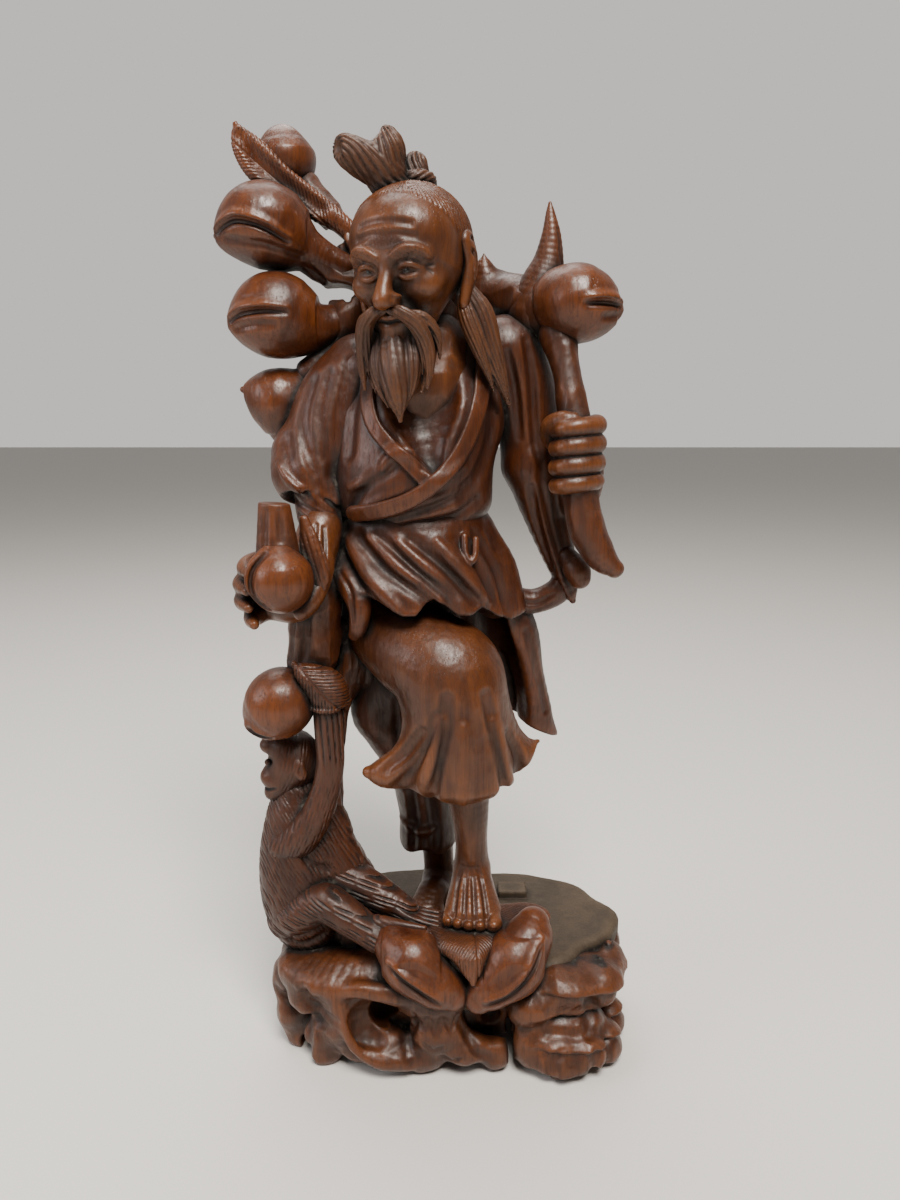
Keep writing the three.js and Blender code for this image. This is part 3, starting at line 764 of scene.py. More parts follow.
def scalp_hair(q):
    """Combed lines that run from the hairline up to the topknot."""
    angle = np.arctan2(q[:, 0], q[:, 1] - 2.0)
    line = q[:, 1] + 13.5 - 0.62 * (24 - q[:, 2]) + 0.4 * noise(q, 3, 8)
    mask = np.clip(line / 1.2, 0, 1) * np.clip((q[:, 2] + 14) / 3, 0, 1)
    wave = 0.35 * noise(q, 6, 9)
    return mask * (-0.45 + 0.55 * (1 - np.abs(np.sin(36 * angle + wave))))


skull.press(scalp_hair, (-19, -16, -16), (19, 24, 26))

HEAD_PLACE, HEAD_TURN = (-11.4, -13.4, 258.8), (12, 0, -22)
head = element("head", "skin", MEDIUM)
head.add(posed(skull, HEAD_PLACE, HEAD_TURN))
head.add(rod([[-9, 3, 243, 12.5], [-8, 3, 232, 12.5]]), soft=5)

for name, s in (("right_eye", -1), ("left_eye", 1)):
    bead = Carving("bead", "eye", FINE)
    bead.add(ball(s * 6.0, -16.3, -0.4, 1.35, 1.35, 1.35))
    eye = element(name, "eye", FINE)
    eye.add(posed(bead, HEAD_PLACE, HEAD_TURN))

for name, s in (("left_ear", 1), ("right_ear", -1)):
    shell = Carving("shell", "skin", FINE)
    shell.add(rod([
        [s * 17.6, 1.5, 5.5, 1.9, 3.6, 3.4],
        [s * 18.2, 2.2, 0, 1.7, 3.8, 4],
        [s * 17.0, 0.4, -6.5, 1.7, 2.6, 3.2],
        [s * 16.2, -0.6, -11, 1.6, 2.2, 2.4],
    ]))
    shell.strokes("cut", [
        [(0.6, 6.6), (2.6, 6.4), (3.9, 3), (3.6, -1), (1.8, -4)],
        [(0.2, 3.2), (1.8, 1.6), (1.2, -1.6)],
    ], 1.6, 1.0, "right" if s > 0 else "left", soft=0.6)
    ear = element(name, "skin", FINE)
    ear.add(posed(shell, HEAD_PLACE, HEAD_TURN))

knot = element("topknot", "hair", FINE)
knot.add(rod(
    [
        [-13, -10, 276, 7], [-17, -12, 281, 5.8], [-19.6, -13, 286, 6.4], [-18.6, -13.2, 291, 5.8],
        [-18.6, -13.4, 294.2, 3.8],
    ],
    strands=(16, 0.7, 0.25),
))
knot.add(rod(
    [[-18, -13, 285, 5.4], [-23, -14.6, 287, 5.8], [-27.6, -16.4, 289, 5.2], [-30, -17.4, 290.2, 4.4]],
    strands=(15, 0.7, -0.25),
), soft=0.8)
knot.cut(ball(-34.2, -20.4, 290, 3.2), ball(-23.6, -16, 297, 3.2, 9, 3.4), soft=1.6)
bun = element("hair_knot", "hair", FINE)
bun.add(rod(
    [[-13, -8.5, 280, 5.4], [-11, -8, 285, 5.0], [-10.4, -8, 288.6, 3.8]],
    strands=(11, 0.7, 0.35),
))
bun.add(rod(
    [[-14.5, -9, 283, 2.0], [-11, -13, 283.8, 2.2], [-6.6, -10.5, 284, 2.3], [-6, -5, 283.6, 2.2]],
    strands=(7, 0.4, 1.0),
), soft=0.5)


def hair_locks(name, locks, count, depth, soft=0.4):
    """Locks of hair, given in the head's own frame."""
    local = Carving(name, "hair", FINE)
    for run in locks:
        local.add(rod(run, strands=(count, depth, 0.2)), soft=soft)
    element(name, "hair", FINE).add(posed(local, HEAD_PLACE, HEAD_TURN))


def both_sides(run):
    """A lock and its mirror image."""
    return [run, [[-row[0], *row[1:]] for row in run]]


MOUSTACHE = [
    [
        [1.2, -20.4, -10.6, 1.3], [4.4, -20.6, -11.2, 2.0], [8.4, -18.6, -15, 2.3],
        [10.6, -17.6, -21.5, 2.0], [10.8, -18.4, -28, 1.4], [10.2, -19.6, -33, 0.5],
    ],
    [
        [2.4, -20.0, -11.0, 1.2], [6.2, -19.4, -13.6, 1.7], [8.6, -17.8, -18.6, 1.7],
        [9.0, -18.0, -25, 1.1], [8.6, -18.8, -29, 0.4],
    ],
    [
        [5.0, -19.6, -11.6, 1.2], [9.6, -16.6, -13.4, 1.8], [12.4, -14.8, -18.6, 1.6],
        [13.0, -15.0, -25, 0.5],
    ],
]
hair_locks("moustache", [lock for run in MOUSTACHE for lock in both_sides(run)], 8, 0.4)
hair_locks("beard", [
    [
        [0, -15.6, -19, 5.0, 3.8, 4.0], [0.4, -19.4, -26, 5.2, 4.2, 5],
        [1.6, -22.4, -33.6, 3.8, 3.4, 4], [2.8, -24.4, -41.4, 0.7],
    ],
    [
        [4.4, -14.2, -18.5, 3.0], [5.6, -18.2, -25.5, 3.1], [5.0, -20.6, -32, 2.2],
        [3.6, -22.6, -38, 0.6],
    ],
    [
        [-4.4, -14.2, -18.5, 3.0], [-5.4, -18.0, -25.5, 3.0], [-4.0, -20.4, -32, 2.2],
        [-1.6, -22.4, -37.6, 0.6],
    ],
    [
        [8.2, -10.6, -16, 2.6], [9.4, -14.4, -23, 2.5], [9.0, -17.0, -29.5, 1.6],
        [7.6, -18.8, -34.5, 0.5],
    ],
    [
        [-8.2, -10.6, -16, 2.6], [-9.4, -14.4, -23, 2.4], [-8.6, -17.0, -29.5, 1.5],
        [-7.0, -18.8, -34, 0.5],
    ],
    [
        [0.6, -18.6, -19.6, 1.6], [0.8, -22.0, -26.6, 2.3], [1.6, -24.2, -33, 1.5],
        [2.4, -24.8, -37.6, 0.5],
    ],
], 9, 0.45)
side = element("left_side_lock", "hair", FINE)
for run in (
    [
        [4.6, -15, 252, 3, 3, 3], [8.6, -15.4, 245, 4.6, 3, 3.6], [11.6, -15.4, 236, 4.0, 2.8, 3.6],
        [15, -14.8, 227, 2.6, 2.2, 2.6], [18.2, -14.2, 217.8, 0.6],
    ],
    [
        [3.6, -16.4, 250, 2], [5.4, -17, 243, 2.8], [8.6, -17, 235, 2.4], [11.6, -16.2, 227.4, 1.3],
        [13.4, -15.4, 222, 0.5],
    ],
):
    side.add(rod(run, strands=(13, 0.45, 0.08)), soft=0.6)

# ---- body

chest = element("chest", "skin")
chest.add(
    ball(-8, -3, 238, 14, 12, 10),
    ball(-8, -4.8, 224, 16.4, 13.4, 14),
    ball(-7, -6, 208, 9, 9, 9),
    soft=7,
)
chest.press(lambda q: 0.25 * noise(q, 7, 14) + 0.3 * scoops(q, 6, 3))

torso = element("torso", "robe", COARSE)
torso.add(
    ball(-8, 2, 227, 25, 14.5, 15),
    ball(-9, -3, 213, 26.5, 20, 18),
    ball(-12, -4, 197, 25.5, 21.5, 19),
    ball(-12, -2.5, 187, 24.5, 19.5, 11),
    soft=8,
)
torso.add(ball(-26, 2, 230, 13, 12, 10), ball(13, 4, 236, 13, 12, 9), soft=6)
torso.cut(rod([
    [-8, -18, 238, 13, 12, 8], [-8, -22, 224, 13, 9, 10], [-6, -26, 203, 5, 6, 6],
]), soft=1.5)
torso.strokes("cut", [
    [(-27, 182), (-22, 187), (-13, 191), (-3, 192.5)],
    [(-26, 180.5), (-14, 185.6), (-2, 189.5), (6, 194)],
    [(-26, 178.6), (-10, 181.5), (3, 184.6), (9, 189)], [(-31, 187), (-25, 195), (-18, 199)],
], 2.6, 1.5, soft=2.0)
torso.strokes("add", [
    [(-31, 193), (-22, 197), (-18.6, 202), (-13, 204.4), (-9.6, 200.6), (-5.6, 196.4)],
], 3.2, 1.6, soft=2.0)
torso.strokes("add", [
    [(-28, 186.5), (-18, 190.5), (-6, 193.4), (4, 200)], [(-27, 184), (-12, 187.6), (2, 192.6)],
], 2.6, 0.9, soft=2.5)
torso.strokes("cut", [
    [(15, 228), (13.6, 212), (10.6, 200), (5, 190)], [(-29, 226), (-31, 214), (-32, 204)],
], 3.4, 0.9, soft=3)
torso.strokes("cut", [
    [(-30, 228), (-26, 206), (-24, 190)], [(-6, 232), (-8, 210), (-14, 190)],
    [(12, 226), (8, 206), (2, 190)],
], 4.0, 1.2, "back", soft=4)



def along(path, half_width, side="front"):
    """How far outside a band drawn along a path each point is, seen from one side."""
    rows = curve([[u, v, 0, 0] for u, v in path], 4)[:, :2].astype(np.float32)
    axes = [0, 2] if side in ("front", "back") else [1, 2]

    def how(p):
        best = np.full(len(p), FAR, np.float32)
        for a, b in zip(rows, rows[1:]):
            ab = b - a
            q = p[:, axes] - a
            t = np.clip((q @ ab) / (ab @ ab), 0, 1)[:, None]
            best = np.minimum(best, np.sqrt(((q - t * ab) ** 2).sum(1)))
        return best - half_width

    return how


def band(name, slot, under, path, half_width, thick, low, high):
    """A strip of cloth that lies on what is under it, along a drawn path."""
    strip = Carving(name, slot, MEDIUM)
    strip.add(Shape(low, high, lambda p, margin: under.field(p, margin) - thick))
    strip.keep(along(path, half_width), soft=1.0)
    return Shape(low, high, strip.field)


LEFT_EDGE = [
    (-23, 240), (-24.6, 232), (-25.4, 222), (-23.6, 213), (-18.6, 206.6), (-13, 201.6), (-7, 195.6),
]
RIGHT_EDGE = [
    (11, 241), (10.6, 231), (9.4, 220), (6.4, 210), (1.6, 201.4), (-5, 194.6), (-13, 189.4),
    (-22, 186.4), (-30, 185),
]
collar = element("collar", "robe")
FRONT_BOX = ((-36, -40, 178), (20, 2, 244))
collar.add(band("left_edge", "robe", torso, LEFT_EDGE, 2.4, 1.3, *FRONT_BOX))
collar.add(band("right_edge", "robe", torso, RIGHT_EDGE, 2.6, 1.9, *FRONT_BOX), soft=0.3)

sleeve = element("right_sleeve", "robe")
sleeve.add(rod([[-29, 2, 229, 12], [-36, 1, 219, 13.5], [-41, -2, 206, 13], [-45.6, -6, 197, 10.5]]))
sleeve.add(rod([[-50, -2, 203, 8], [-46, -8, 195, 9], [-40, -10, 188.6, 6.5]]), soft=5)
sleeve.cut(rod([[-47, -12, 186, 7.5], [-39, -12, 181, 7]]), soft=1.0)
sleeve.add(rod([[-42, -6, 194, 8.4], [-42, -9, 186, 7.6], [-40.5, -13, 178, 6.6]]), soft=0.3)
sleeve.strokes("cut", [
    [(-43.5, 226), (-46, 214), (-43, 202), (-37, 190)],
    [(-31, 231), (-34, 219), (-35.6, 208), (-36, 197)], [(-38, 228), (-40, 215), (-38, 203)],
    [(-52, 208), (-49, 199), (-43, 193)],
], 3.4, 0.9, soft=3)
sleeve.strokes("add", [[(-54, 200.4), (-50, 195), (-44, 190.6), (-37, 186)]], 2.4, 0.9, soft=1.2)
sleeve.strokes("cut", [
    [(-50, 189), (-44, 186), (-38, 183)], [(-48, 184.4), (-42, 180.6)],
], 1.8, 0.8, soft=1.0)
sleeve.strokes("cut", [
    [(-44, 222), (-48, 208), (-50, 198)], [(-34, 226), (-38, 210), (-42, 196)],
], 3.4, 1.2, "back", soft=3)

drape = element("left_sleeve", "robe")
drape.add(rod([[18, 4, 235, 12], [23, 5, 225, 11.5], [26, 5, 212, 10.5], [27, 5, 200, 10]]))
drape.add(
    rod([
        [27, 3, 198, 9, 9, 9], [31.5, 2, 184, 7.5, 8, 8], [36, 0.5, 171, 5.6, 7, 7],
        [39.4, -1.6, 160, 3.4, 5, 4], [41, -3, 154.5, 1.2],
    ]),
    rod([[26, 3, 200, 7], [33, 0, 193, 5], [39, -3, 188, 4.6]]),
    soft=3,
)
drape.strokes("cut", [
    [(24, 238), (26, 224), (27, 210), (30, 196)], [(18, 234), (20.6, 222), (22, 208)],
    [(29, 196), (32, 184), (36, 170), (40, 158)], [(33, 194), (35.6, 182), (38.6, 168)],
    [(26, 192), (28.6, 180), (33, 166)],
], 2.2, 1.3, soft=1.6)
drape.strokes("cut", [
    [(22, 236), (27, 216), (30, 196)], [(28, 198), (32, 180), (38, 162)],
], 3.0, 1.3, "back", soft=3)
bridge = element("sleeve_bridge", "robe")
bridge.add(rod([
    [14, -2, 157, 5.5], [22, -0.5, 154, 4.8], [29, 0, 153.8, 4.2], [35.6, -1, 157, 4.4],
    [38, -1, 161, 4],
]))
bridge.strokes("cut", [[(20, 156), (28, 153.6), (34, 157)]], 1.6, 0.6, soft=1)
tassel = element("sleeve_tassel", "branch")
tassel.add(rod([[38.6, -4, 169.5, 3.4], [41.4, -7, 165.5, 4.4], [42.4, -8, 163, 3.6]]))

# ---- skirt of the jacket, with its wavy hem

HEM = [
    (-50, 160), (-40, 166), (-33, 163.5), (-25, 159.5), (-19, 156.8), (-14.5, 154.4), (-10.5, 154.6),
    (-7.6, 158), (-5, 159.6), (-1.6, 157.6), (2.6, 154.2), (6.6, 153.8), (10, 156), (14, 153),
    (20, 149), (30, 148),
]


def below_hem(p):
    xs, zs = np.array(HEM).T
    front = np.interp(p[:, 0], xs, zs).astype(np.float32)
    back = 150 + 2.0 * np.sin(p[:, 0] * 0.32)
    share = np.clip((p[:, 1] + 12) / 10, 0, 1)
    return (p[:, 2] - (front * (1 - share) + back * share)).astype(np.float32) * 0.85


skirt = element("jacket_skirt", "robe", COARSE)
skirt.add(rod(
    [
        [-12, -2, 180, 24.6, 19.2, 4], [-11.5, -3, 172, 25.6, 20.6, 6],
        [-10.5, -4.4, 160, 28.2, 23.4, 8], [-10, -5, 148, 30.5, 25.5, 8],
    ],
    parts=3,
))
skirt.strokes("cut", [
    [(-38, 170), (-36, 158), (-34, 146)], [(-36, 177), (-31, 168), (-24, 159), (-22, 155)],
    [(-29, 178), (-20, 169), (-8, 161.5), (-5, 157)], [(-22, 178), (-12, 170), (-2, 163), (2, 160)],
    [(-12, 177), (-1, 168.5), (9, 158.5)], [(3, 178), (10, 168), (14, 156)],
    [(9, 178), (15, 166), (19, 152)],
], 3.4, 2.0, soft=2.6)
skirt.strokes("add", [
    [(-33, 177), (-26, 167), (-16, 157)], [(-25, 177.6), (-13, 167), (-3, 159)],
    [(-16, 177), (-5, 167), (5, 155.6)], [(-4, 177), (4, 168), (12, 157)],
], 3.0, 1.3, soft=3.0)
skirt.strokes("cut", [
    [(-30, 176), (-34, 160), (-37, 150)], [(-18, 177), (-20, 162), (-21, 150)],
    [(-4, 177), (-4, 162), (-4, 150)], [(8, 176), (12, 162), (15, 150)],
], 4.0, 2.0, "back", soft=3)
skirt.add(rod([[10, -2, 178, 5], [15.6, -3, 166, 6.4], [19, -3, 152, 6.6]]), soft=3)
skirt.cut(region((-60, -60, 130), (40, 40, 170), below_hem), soft=0.8)
skirt.add(rod([
    [-35, -10, 166, 5], [-31, -17, 162, 4.6], [-28.4, -20.4, 156, 3.8], [-29, -20, 149.5, 3.0],
    [-30.4, -19, 146.6, 2.0],
]), soft=1.0)
skirt.strokes("cut", [[(-35, 167), (-31, 161), (-30.4, 152)]], 1.4, 0.9, soft=0.7)
skirt.add(rod([
    [4.4, -18.5, 178, 1.3], [4.8, -20.3, 173, 1.3], [6.4, -21.2, 170.4, 1.2], [7.8, -20.2, 172.4, 1.2],
    [8.0, -18.4, 177, 1.2],
]), soft=0.5)

# ---- raised leg

# the front trouser takes the paler skin finish though it is the same cloth as the rear trouser: its paler
# tone is painted light on the raised leg
bell = element("front_trouser", "skin", COARSE)
bell.add(rod(
    [
        [-18, -5, 144, 16, 15, 14], [-10, -14, 140, 17, 16, 15], [-1, -20, 134, 18, 17, 16],
        [2, -21.4, 120, 17, 16.6, 16], [2.4, -21, 107, 17.6, 16.2, 8],
    ],
    parts=9,
))
bell.add(rod([
    [-2, -21, 122, 12], [-7, -22, 112, 9.5], [-14, -22.6, 104.5, 7.4], [-21, -22.6, 101.6, 5.0],
    [-26.4, -22.4, 101.6, 2.2],
]), soft=3)
bell.add(rod([
    [8, -20, 122, 11], [15, -18, 111, 9], [21, -16, 106, 7], [25.6, -15, 106, 4.4],
    [29, -14, 108.4, 1.4],
]), soft=3)
bell.add(rod([[3, -22, 112, 16, 15, 8], [3.4, -22.4, 100, 16.6, 15.4, 6]], parts=1), soft=3)
bell.strokes("cut", [
    [(-1, 131), (-2, 119), (-4.6, 106), (-6, 96)], [(-4, 125), (-7.6, 113), (-13, 103.6), (-17, 98)],
    [(11.6, 131), (14.4, 116), (17, 103), (17.6, 96)], [(-9, 119), (-14.6, 110), (-21, 104.6)],
    [(19, 116), (21.6, 108), (23, 101)],
], 3.0, 1.9, soft=2.2)
bell.strokes("add", [
    [(-2.6, 124), (-5, 112), (-9, 101)], [(4, 122), (4, 110), (4, 97)],
    [(13, 122), (15.4, 110), (19.6, 99)],
], 4.0, 1.2, soft=3.5)
BELL_HEM = [
    (-40, 101), (-28.6, 100.6), (-24, 97.5), (-18.6, 94.4), (-15, 93.4), (-11.6, 95.6), (-8.8, 94.6),
    (-5, 96.4), (-1, 95.2), (4, 92.6), (9, 92.6), (13.4, 95.4), (15.6, 99.4), (19, 98.4), (23, 100),
    (26, 103.4), (28.4, 107.6), (34, 110),
]


def below_bell(p):
    xs, zs = np.array(BELL_HEM).T
    edge = np.interp(p[:, 0], xs, zs).astype(np.float32) + np.clip(p[:, 1] + 20, 0, 20) * 0.12
    return (p[:, 2] - edge) * 0.9


bell.cut(region((-45, -60, 80), (45, 10, 112), below_bell), soft=0.8)
bell.cut(rod([[3, -19, 86, 13.5, 11.5, 6], [3, -19, 98, 11.5, 10.5, 6], [3, -18, 106, 8]]), soft=1.0)
bell.cut(
    rod([[-23, -20, 95, 3.4], [-15, -20, 94, 4.6], [-8, -20, 94, 5]]),
    rod([[22, -14, 99, 4], [16, -16, 95, 5]]),
    soft=1.2,
)
bell.strokes("cut", [
    [(-6, 146), (-14, 128), (-20, 112)], [(6, 140), (8, 122), (10, 106)],
], 4.0, 1.4, "back", soft=3)

leg = element("front_leg", "skin", FINE)
leg.add(rod([
    [5, -15, 108, 8.6], [5.4, -15, 97, 8.0], [6.6, -15.4, 86, 6.4], [7.2, -15.4, 75, 5.4],
    [7.4, -14.6, 66, 5.8],
]))
leg.add(rod([
    [7.4, -11, 58, 6.2, 7, 6.2], [7.4, -15, 60, 6.8, 7, 7], [7.5, -21, 57, 8.2, 6.5, 5.6],
    [7.6, -25.6, 54.4, 9.4, 5, 3.8],
]), soft=4)
TOES = [(-0.6, -28.8, 1.9), (2.7, -30.2, 1.9), (6.2, -31.2, 2.0), (9.8, -31.4, 2.1), (14.2, -30.8, 2.8)]
for x, y, r in TOES:
    leg.add(rod([
        [x * 0.72 + 2.0, -20, 57.6, r],
        [x * 0.9 + 0.8, y + 5, 54.4, r],
        [x, y, 52.6, r * 1.05],
    ]), soft=0.7)
    leg.add(ball(x, y - r * 0.7, 53.4, r * 0.6, r * 0.5, r * 0.5), soft=0.3)
BETWEEN = [(a[0] + b[0]) / 2 for a, b in zip(TOES, TOES[1:])]
leg.strokes(
    "cut",
    [[(x * 0.5 + 3.4, 67), (x * 0.8 + 1.4, 61), (x, 55)] for x in BETWEEN],
    1.5,
    0.8,
    soft=0.8,
)
leg.strokes("add", [[(5.8, 94), (6.0, 82), (7.2, 70)]], 3.0, 0.6, soft=3)

# ---- standing leg and the back of the robe

rear = element("rear_trouser", "robe", COARSE)
rear.add(rod([
    [-16, 4, 142, 16], [-14, 8, 118, 15], [-10.5, 12, 92, 12], [-8.5, 14, 72, 10.4],
    [-8, 14, 62, 10.8],
]))
rear.add(rod([[-24, 3, 130, 9], [-27, 2, 115, 7.6], [-22, 4, 108, 9], [-16, 7, 100, 10]]), soft=4)
rear.cut(region(
    (-30, -5, 40), (15, 35, 66),
    lambda p: (p[:, 2] - 59.5 - 1.1 * np.sin(p[:, 0] * 0.5)) * 0.9,
), soft=0.8)
rear.cut(rod([[-7.5, 14, 54, 8], [-7.5, 14, 64, 7]]), soft=0.8)
rear.strokes("cut", [
    [(-14, 84), (-13, 72), (-14, 62)], [(-8, 90), (-6, 76), (-5, 62)],
    [(-18, 120), (-17, 100), (-15, 84)],
], 2.8, 1.4, soft=2)
rear.strokes("add", [[(-18, 71), (-12, 68), (-6, 69)]], 3.0, 1.0, soft=2)
rear.strokes("cut", [
    [(-12, 120), (-8, 96), (-4, 64)], [(-20, 110), (-16, 88), (-12, 64)],
], 3.4, 1.6, "back", soft=2.5)
shin = element("rear_leg", "skin")
shin.add(rod([[-6.6, 14, 76, 7], [-5, 15.4, 62, 6], [-4.2, 16.4, 50, 5.6], [-4, 17, 43, 6]]))
shin.add(rod([
    [-4, 16.6, 41.5, 5.8, 6.2, 5], [-6, 9, 42.4, 5.8, 5.5, 5], [-8.6, 2.6, 40, 6, 4.5, 3.4],
]), soft=3)
for i in range(5):
    x = -13.4 + 2.5 * i
    shin.add(rod([[x * 0.7 - 1.6, 4.5, 41, 1.4], [x, -0.6 - 0.5 * i, 38.6, 1.5 + 0.12 * i]]), soft=0.7)
tail = element("robe_tail", "robe", COARSE)
tail.add(rod([
    [-11, 7, 162, 26, 13, 12], [-5, 13.5, 142, 28, 10, 12], [4, 16.5, 124, 26, 7.5, 9],
    [13, 16.5, 114, 20, 5, 6],
]))
tail.add(
    rod([
        [19, 4, 149, 8, 10, 9], [24.5, 6, 139, 6.5, 10, 9], [27.6, 8, 126, 5.4, 9, 8],
        [30, 9, 112, 6.2, 7, 8], [32, 10, 104, 5.4, 6, 6],
    ]),
    rod([[31, 9, 108, 4, 5, 4], [35.4, 10, 104.4, 2.2, 3, 2], [38, 10, 102.4, 0.7]]),
    soft=3,
)
tail.cut(rod([
    [11, -4, 146, 8, 10, 10], [14.6, -2, 130, 9, 10, 10], [19, -1, 112, 8.6, 9, 10],
]), soft=1.0)
tail.cut(region(
    (14, -8, 85), (45, 30, 112),
    lambda p: (p[:, 2] - 110 + 0.52 * (p[:, 0] - 24)) * 0.88,
), soft=0.6)
tail.strokes("cut", [[(26, 144), (30, 130), (34, 114)]], 1.8, 0.5, soft=1.8)
tail.strokes("cut", [
    [(-26, 164), (-24, 146), (-16, 128)], [(-12, 166), (-8, 146), (-1, 122)],
    [(2, 166), (8, 142), (14, 116)], [(14, 164), (20, 140), (26, 114)],
], 4.4, 2.4, "back", soft=3.5)
tail.strokes("add", [
    [(-19, 164), (-16, 146), (-9, 126)], [(-5, 166), (0, 144), (7, 120)],
    [(8, 166), (14, 142), (20, 114)],
], 4.4, 1.6, "back", soft=4)

# ---- hands

palm = element("right_hand", "skin", FINE)
palm.add(rod([
    [-41, -12.5, 180, 7], [-43, -16.5, 173, 7.6], [-47, -20.5, 166, 9.6, 7.4, 9.4],
    [-49.5, -22, 159.5, 9.4, 7, 7.4],
]))
for i in range(4):
    z = 170.6 - 5.1 * i
    reach = (0, 1.6, 1.4, -1.6)[i]
    palm.add(rod([
        [-50, -19.6, z - 0.6, 4],
        [-58.4 - reach, -21.4, z, 3.4],
        [-61.6 - reach, -26, z - 0.8, 3.3],
        [-61.2 - reach * 0.7, -31, z - 1.3, 2.3],
        [-59.4 - reach * 0.5, -35, z - 1.8, 1.5],
    ]), soft=1.6)
palm.add(rod([
    [-41, -17, 176, 4.6], [-39.6, -23.4, 168, 3.8], [-41.8, -28.4, 160.6, 3.3], [-45, -31, 156.6, 2.6],
]), soft=1.2)
palm.strokes("cut", [
    [(-39, 181), (-38.6, 173), (-40.6, 165)], [(-41.4, 182), (-41.8, 174), (-43, 168)],
], 1.3, 0.6, soft=0.7)
stalk = element("peach_stalk", "branch")
stalk.add(rod([
    [-51.4, -31, 170, 7.0, 5.4, 4], [-51.8, -30.4, 179, 6.0, 4.8, 4], [-52.6, -29.4, 193, 4.4, 4, 4],
]))
stalk.cut(region(
    (-70, -50, 185), (-30, -10, 200),
    lambda p: 189.4 - p[:, 2] - 0.06 * (p[:, 0] + 52),
), soft=0.6)
stalk.add(rod([
    [-44, -27, 184, 1.6, 1.2, 1.6], [-42, -28, 176, 3.4, 1.6, 4], [-40, -28.6, 168, 3.6, 1.6, 4],
    [-39.6, -28, 160, 1.2],
]), soft=0.8)
stalk.press(
    lambda q: 0.4 * within(q, (-41.6, -28, 171), (6, 4, 12), 0.2) * lines(q, (0.9, 0, 0.25), 1.5)
)
stalk.strokes("cut", [
    [(-54.6, 187), (-54.8, 180), (-55, 175)], [(-50, 187), (-49.6, 179)],
], 1.8, 0.5, soft=1.2)
post = element("hand_post", "branch")
post.add(rod([[-44, -13, 160, 9], [-44, -12, 150, 9], [-44.6, -12, 140, 8.6], [-46.4, -13, 131, 7.6]]))
post.add(rod([[-40, -8, 146, 4.5], [-34, -4, 144, 4.5]]), soft=3)
post.press(
    lambda q: 0.4 * noise(stretch(q, 1, 1, 0.4), 4, 11) + 0.7 * scoops(stretch(q, 1, 1, 0.6), 5, 5)
)
post.strokes("cut", [
    [(-50, 158), (-50.6, 148), (-52, 138)], [(-45, 158), (-45.6, 146), (-48, 136)],
], 2.2, 0.9, soft=1.6)

fist = element("left_hand", "skin", FINE)
fist.add(rod([
    [43, -3, 186, 4.4], [43.6, -7, 193, 5.4, 5, 5.5], [42.4, -8.6, 201, 6.2, 5.4, 8],
    [41, -8.8, 208, 5.4, 5, 5],
]))
for z, w in ((211.8, 3.0), (206.2, 3.15), (200.4, 3.1), (194.8, 2.8)):
    fist.add(rod([
        [45.4, -11, z + 0.6, w],
        [44.8, -17, z + 0.3, w * 1.05],
        [40.4, -21, z - 0.2, w],
        [35.4, -21, z - 0.8, w],
        [33, -17.6, z - 1.2, w * 0.92],
    ]), soft=0.25)
fist.add(rod([
    [38, -8, 206, 4.4], [32.6, -10.6, 208, 3.8], [31.2, -14.6, 211.6, 3.2], [34, -18.6, 213.6, 2.8],
    [37.4, -20, 213.8, 2.2],
]), soft=0.6)

# ---- monkey

muzzle = element("monkey_head", "monkey", FINE)
muzzle.add(ball(-52.6, -10, 101, 9, 9.6, 10.5))
muzzle.add(ball(-56.4, -11.6, 107, 5.4, 5.6, 4.2), ball(-57, -12, 95, 5.4, 6, 6.6), soft=3)
muzzle.add(
    ball(-60.8, -13, 107.6, 2.6, 3.4, 2.4),
    ball(-60.6, -13.4, 96.6, 2.9, 3.6, 2.8),
    ball(-59.8, -13, 90.6, 2.6, 3.2, 2.4),
    soft=2,
)
muzzle.cut(ball(-62.4, -15, 102.6, 3.2, 4.2, 1.8), soft=1.8)
muzzle.add(ball(-60.4, -15.2, 102.2, 1.2), soft=0.4)
muzzle.strokes("cut", [[(-64, 93.4), (-61, 93.0), (-57.6, 94)]], 0.9, 0.7, soft=0.4)
muzzle.add(rod([[-49.6, -18.6, 101.6, 1.9, 1.2, 2.4], [-48.6, -18.6, 99, 1.7, 1.1, 2.0]]), soft=0.8)
muzzle.cut(ball(-49.2, -20, 100.4, 0.8, 0.9, 1.3), soft=0.5)
muzzle.press(
    lambda q: 0.25 * np.clip((q[:, 0] + 57) / 3, 0, 1) * hatch(
        q,
        (0.3, 0, 0.95),
        (0.9, 0.3, -0.3),
        1.1,
        4.5,
        3,
    )
)
torso_m = element("monkey_body", "monkey")
torso_m.add(rod(
    [
        [-52, -10, 90, 8], [-52, -10, 80, 11], [-52, -10, 68, 13.4], [-51, -10, 56, 14.8],
        [-49.4, -11, 47, 14], [-48, -11, 40, 10],
    ],
    parts=7,
))
torso_m.add(rod([[-44, -9, 88, 5], [-41.6, -9, 78, 7], [-40, -10, 68, 8.4], [-36, -11, 58, 9]]), soft=4)
torso_m.strokes("cut", [
    [(-48, 86), (-50, 78), (-47, 70), (-41, 66)], [(-58, 44), (-50, 40.5), (-42, 44)],
], 2.2, 1.2, soft=1.5)
torso_m.press(lambda q: 0.5 * hatch(q, (0.45, 0.2, -0.85), (0.85, 0.15, 0.5), 1.1, 5.0, 2))
arm = element("monkey_raised_arm", "monkey", FINE)
arm.add(rod([
    [-55, -16, 73, 6.6], [-50, -18.4, 77, 6.4], [-44.4, -20, 85, 5.4], [-40.6, -20.6, 95, 4.7],
    [-39, -20.6, 104, 4.6], [-38.8, -20.4, 112, 5.0], [-38.8, -20, 121, 5.4],
]))
arm.press(
    lambda q: 0.6 * np.clip((q[:, 2] - 103) / 4, 0, 1) * lines(q, (0.93, 0.35, 0.06), 1.9),
    (-50, -30, 100),
    (-28, -10, 126),
)
